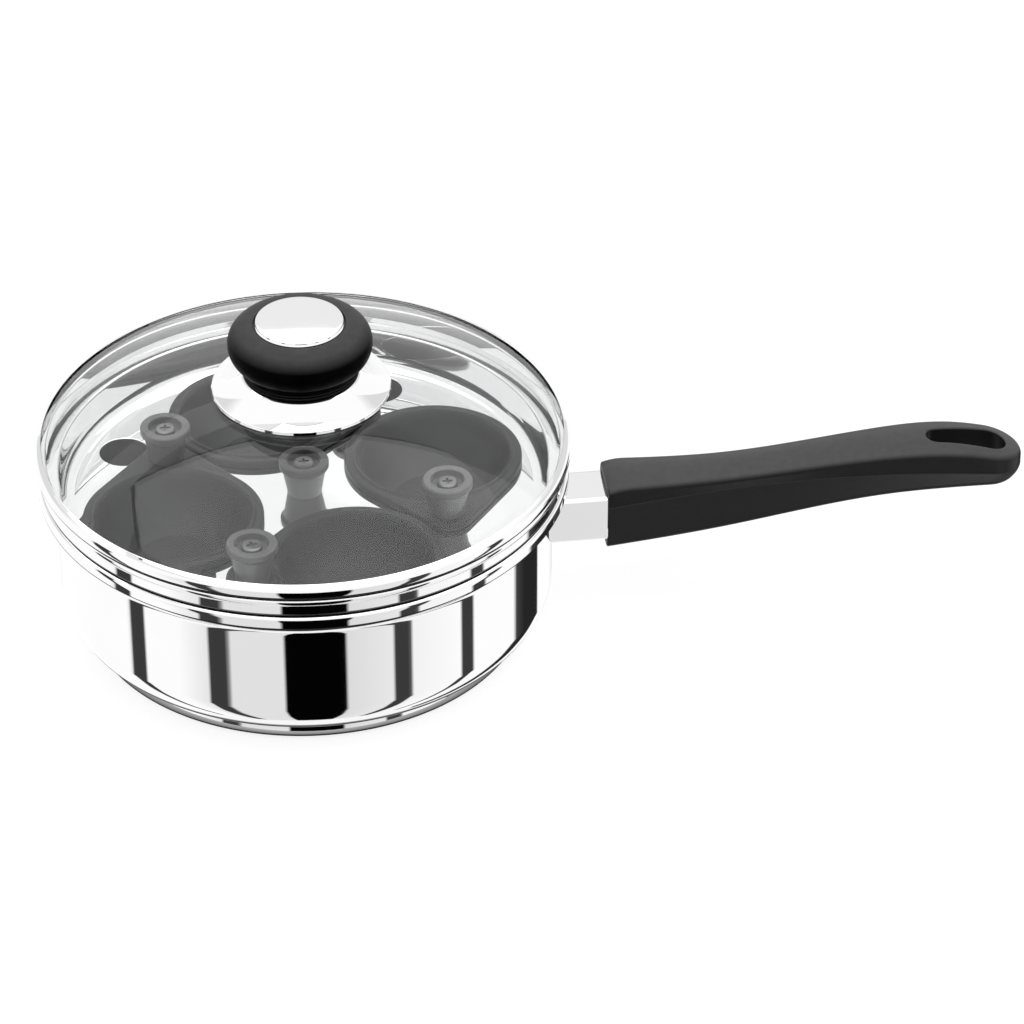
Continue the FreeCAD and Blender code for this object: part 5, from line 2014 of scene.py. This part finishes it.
@dataclass
class Studio:
    """A pale floor, a light tent with dark strips that polished steel mirrors, a softbox, a camera."""

    turn: float = -7.54
    elevation: float = 34.93
    distance: float = 1755.2
    target: Triple = (79.32, -10.50, 44.03)
    lens: float = 159.4
    sensor: float = 36.0
    clip_metres: float = 100.0
    far_reach: float = 6000.0
    tent_radius: float = 700.0
    tent_rows: int = 13
    tent_elevations: Floats = (-70.0, 0.0, 20.0, 35.5, 40.7, 49.0)
    tent_white: float = 1.06
    tent_back: float = 0.77
    inlay_back: float = 0.9
    strip_shade: float = 0.045
    front_reach: float = 100.0
    side_reach: Pair = (98.0, 112.0)
    ceiling_height: float = 1300.0
    ceiling_shade: float = 0.86
    left_glow: float = 1.9
    left_drop: float = 10.0
    left_centre: Pair = (-1180.0, 700.0)
    left_radius: float = 480.0
    # A painted contact shadow: a dark disc under the base that only the steel's reflections see.
    contact_drop: float = 0.2
    contact_reach: Pair = (86.4, 90.6)
    contact_shade: Pair = (0.02, 0.45)
    softbox_height: float = 1200.0
    softbox_x: Pair = (-660.0, 1200.0)
    softbox_y: Pair = (-900.0, 850.0)
    softbox_watts: float = 11.3
    frame_width: float = 17.0
    frame_drop: float = 1.0
    frame_shade: float = 0.02
    ambient: float = 0.3
    floor_drop: float = 0.3
    floor_pale: float = 0.34
    floor_glow: float = 0.835

    def camera(self) -> None:
        """Sets the camera on the photograph's line of sight."""
        turn = math.radians(self.turn)
        rise = math.radians(self.elevation)
        right = Vector((math.cos(turn), math.sin(turn), 0.0))
        back = Vector((
            math.sin(turn) * math.cos(rise), -math.cos(turn) * math.cos(rise), math.sin(rise)))
        up = back.cross(right)
        data = bpy.data.cameras.new("camera")
        data.lens = self.lens
        data.sensor_width = self.sensor
        data.clip_end = self.clip_metres
        camera = bpy.data.objects.new("camera", data)
        place = (Vector(self.target) + back * self.distance) * MM
        camera.matrix_world = Matrix.Translation(place) @ Matrix((right, up, back)).transposed().to_4x4()
        bpy.context.scene.collection.objects.link(camera)
        bpy.context.scene.camera = camera

    def world(self) -> None:
        """A white surround for the camera, gloss and glass, and a softer one for plain surfaces."""
        world = bpy.data.worlds.new("tent_white")
        world.use_nodes = True
        bpy.context.scene.world = world
        tree = world.node_tree
        path = add_node(tree, "LightPath").outputs
        seen = add_node(
            tree, "Math", {0: path["Is Camera Ray"], 1: path["Is Glossy Ray"]}, operation="MAXIMUM")
        clear = add_node(
            tree, "Math", {0: seen.outputs[0], 1: path["Is Transmission Ray"]}, operation="MAXIMUM")
        strength = add_node(tree, "MapRange", {"Value": clear.outputs[0], "To Min": self.ambient})
        ground = tree.nodes["Background"]
        ground.inputs["Color"].default_value = WHITE
        tree.links.new(strength.outputs["Result"], ground.inputs["Strength"])

    @staticmethod
    def coat(card: bpy.types.Object, name: str) -> Tree:
        """Gives a card a material of its own.

        Args:
            card: The card.
            name: Name of the material.

        Returns:
            The material's node tree.
        """
        material = bpy.data.materials.new(name)
        material.use_nodes = True
        card.data.materials.append(material)
        return material.node_tree

    def floor(self) -> None:
        """The floor: pale, with part of its white given to the camera alone, so that a shadow stays."""
        side = np.array([-self.far_reach, self.far_reach])
        x, y = np.meshgrid(side, side)
        level = np.full_like(x, -self.floor_drop)
        plane = Skin().grid(np.stack((x, y, level), axis=-1), ring=False).make("floor")
        tree = self.coat(plane, "floor_white")
        shader = tree.nodes["Principled BSDF"]
        shader.inputs["Base Color"].default_value = grey(self.floor_pale)
        shader.inputs["Roughness"].default_value = 1.0
        shader.inputs["Specular IOR Level"].default_value = 0.0
        shader.inputs["Emission Color"].default_value = WHITE
        path = add_node(tree, "LightPath")
        share = add_node(
            tree, "Math", {0: path.outputs["Is Camera Ray"], 1: self.floor_glow}, operation="MULTIPLY")
        tree.links.new(share.outputs[0], shader.inputs["Emission Strength"])
        plane.visible_glossy = False
        plane.visible_transmission = False

    def wall_strips(self) -> list[Pair]:
        """The dark and pale strips that the pan's wall mirrors.

        Returns:
            Degrees from the camera's side, to the right, and the shade there.
        """
        white = self.tent_white
        dark = self.strip_shade
        return [
            (-180.0, 0.55), (-152.0, white), (-83.0, white), (-82.8, dark), (-74.4, dark), (-74.2, white),
            (-56.0, white), (-41.0, 0.84), (-40.8, dark), (-32.4, dark), (-32.2, 0.81), (-8.4, 0.81),
            (-8.2, 0.001), (18.8, 0.001), (19.0, 0.76), (40.0, 0.87), (40.2, dark), (47.8, dark),
            (48.0, 0.96), (73.8, white), (74.0, dark), (81.0, dark), (81.2, white), (109.6, white),
            (109.8, 0.06), (118.0, 0.02), (132.5, 0.02), (132.7, white), (152.0, white), (180.0, 0.55),
        ]

    def half_ring(self, back: float) -> list[Pair]:
        """White on the camera's side and one shade behind the pan, with a short run between them.

        Args:
            back: The shade behind.

        Returns:
            Degrees from the camera's side, to the right, and the shade there.
        """
        white = self.tent_white
        near, far = self.side_reach
        return [(-180.0, back), (-far, back), (-near, white), (near, white), (far, back), (180.0, back)]

    def tent(self) -> None:
        """The tent: rings of an open drum round the pan, from low to high, seen by gloss alone.

        The lowest has the strips that the wall mirrors, and those above it differ behind the pan,
        where the tray's flat and the inlay look.
        """
        white = self.tent_white
        glow = self.left_glow
        strips = self.wall_strips()
        middle = [(turn, shade) for turn, shade in strips if abs(turn) < self.front_reach]
        rings = {
            "tent_strips": strips,
            "tent_front_strips": [(-180.0, white), *middle, (180.0, white)],
            "tent_side": self.half_ring(self.tent_back),
            "tent_inlay_side": self.half_ring(self.inlay_back),
            "tent_top": [(-180.0, glow), (-105.0, glow), (-95.0, white), (160.0, white), (180.0, glow)],
        }
        spans = zip(self.tent_elevations, self.tent_elevations[1:])
        for (name, shades), (low, high) in zip(rings.items(), spans):
            self.tent_ring(name, low, high, shades)

    def tent_ring(self, name: str, low: float, high: float, shades: list[Pair]) -> None:
        """One ring of the tent, whose height is its radius times the tangent of the elevation.

        Args:
            name: Name of the ring.
            low: Its lowest elevation, in degrees.
            high: Its highest elevation.
            shades: Its shades by degrees from the camera's side, to the right.
        """
        rise = np.radians(np.linspace(low, high, self.tent_rows))
        rows = self.tent_radius * np.stack((np.ones_like(rise), np.tan(rise)), axis=-1)
        drum = Skin().grid(spin(rows, LARGE_ROUND)).make(name)
        tree = self.coat(drum, name)
        place = add_node(tree, "TexCoord")
        turned = add_node(
            tree, "VectorRotate",
            {"Vector": place.outputs["Object"], "Angle": QUARTER_TURN - math.radians(self.turn)},
            rotation_type="Z_AXIS")
        split = add_node(tree, "SeparateXYZ", {0: turned.outputs[0]})
        angle = add_node(
            tree, "Math", {0: split.outputs["Y"], 1: split.outputs["X"]}, operation="ARCTAN2")
        share = add_node(
            tree, "MapRange", {"Value": angle.outputs[0], "From Min": -math.pi, "From Max": math.pi})
        ramp = add_node(tree, "ValToRGB", {"Fac": share.outputs["Result"]})
        stops = ramp.color_ramp.elements
        for degrees, _ in shades[1:-1]:
            stops.new((degrees + 180) / 360)
        for stop, (_, shade) in zip(stops, shades):
            stop.color = grey(shade)
        self.shine(drum, ramp.outputs["Color"])

    def disc(
        self, name: str, height: float, reach: Pair, shade: Pair, centre: Pair = (0.0, 0.0),
    ) -> None:
        """A level disc seen by gloss alone, whose shade changes with the distance from the pan's axis.

        Args:
            name: Name of the disc.
            height: Its height.
            reach: The distance where the shade starts to change, and the disc's radius.
            shade: The shades at both.
            centre: Where its middle is.
        """
        rows = np.array([[0.0, height], [reach[1], height]])
        card = Skin().grid(spin(rows, SMALL_ROUND, centre)).make(name)
        tree = self.coat(card, name)
        place = add_node(tree, "TexCoord")
        away = add_node(tree, "VectorMath", {0: place.outputs["Object"]}, operation="LENGTH")
        share = add_node(tree, "MapRange", {
            "Value": away.outputs["Value"], "From Min": reach[0] * MM, "From Max": reach[1] * MM,
            "To Min": shade[0], "To Max": shade[1]})
        self.shine(card, share.outputs["Result"])

    def shine(self, card: bpy.types.Object, colour: Socket) -> None:
        """Makes a card shine, to mirrored rays alone.

        Args:
            card: The card, with its material.
            colour: The socket in that material that gives the colour.
        """
        tree = card.active_material.node_tree
        glow = add_node(tree, "Emission", {"Color": colour})
        tree.links.new(glow.outputs[0], tree.nodes["Material Output"].inputs["Surface"])
        self.gloss_only(card)

    @staticmethod
    def gloss_only(card: bpy.types.Object) -> None:
        """Shows a card to mirrored rays alone.

        Args:
            card: The card.
        """
        card.visible_camera = False
        card.visible_diffuse = False
        card.visible_shadow = False
        card.visible_transmission = False

    def softbox(self) -> None:
        """The lamp overhead, and the dark frame whose outline shows on the glass."""
        wide = self.softbox_x[1] - self.softbox_x[0]
        deep = self.softbox_y[1] - self.softbox_y[0]
        middle = (sum(self.softbox_x) / 2, sum(self.softbox_y) / 2)
        data = bpy.data.lights.new("softbox", "AREA")
        data.shape = "RECTANGLE"
        data.size = wide * MM
        data.size_y = deep * MM
        data.energy = self.softbox_watts
        lamp = bpy.data.objects.new("softbox", data)
        lamp.location = Vector((*middle, self.softbox_height)) * MM
        bpy.context.scene.collection.objects.link(lamp)
        corner = np.array([[-1, -1], [1, -1], [1, 1], [-1, 1]]) / 2
        size = np.array([[wide, deep], [wide + 2 * self.frame_width, deep + 2 * self.frame_width]])
        pairs = corner * size[:, None, :] + np.array(middle)
        height = np.full((*pairs.shape[:2], 1), self.softbox_height - self.frame_drop)
        frame = Skin().grid(np.concatenate((pairs, height), axis=-1)).make("softbox_frame")
        shader = self.coat(frame, "softbox_frame_black").nodes["Principled BSDF"]
        shader.inputs["Base Color"].default_value = grey(self.frame_shade)
        self.gloss_only(frame)

    def build(self) -> None:
        """Sets up the camera, the light and what surrounds the object."""
        self.camera()
        self.world()
        self.floor()
        self.tent()
        shade = (self.ceiling_shade, self.ceiling_shade)
        glow = (self.left_glow, self.left_glow)
        left_height = self.ceiling_height - self.left_drop
        self.disc("ceiling", self.ceiling_height, (0.0, self.far_reach), shade)
        self.disc("left_glow", left_height, (0.0, self.left_radius), glow, self.left_centre)
        # Painted shadow: the contact shadow that the base's rounding mirrors.
        self.disc("contact", -self.contact_drop, self.contact_reach, self.contact_shade)
        self.softbox()
        bpy.context.scene.view_settings.view_transform = "Standard"
        LOG.info("studio is set")


def main() -> None:
    """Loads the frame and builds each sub-assembly in order."""
    logging.basicConfig(level=logging.INFO, format="%(name)s: %(message)s")
    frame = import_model()
    palette = Palette(frame)
    Pan().build(palette)
    Handle().build(palette)
    PoachingTray().build(palette)
    for number in range(1, CUP_COUNT + 1):
        EggCup(number).build(palette)
    Lid().build(palette)
    Studio().build()
    bpy.context.view_layer.update()


if __name__ == "__main__":
    main()
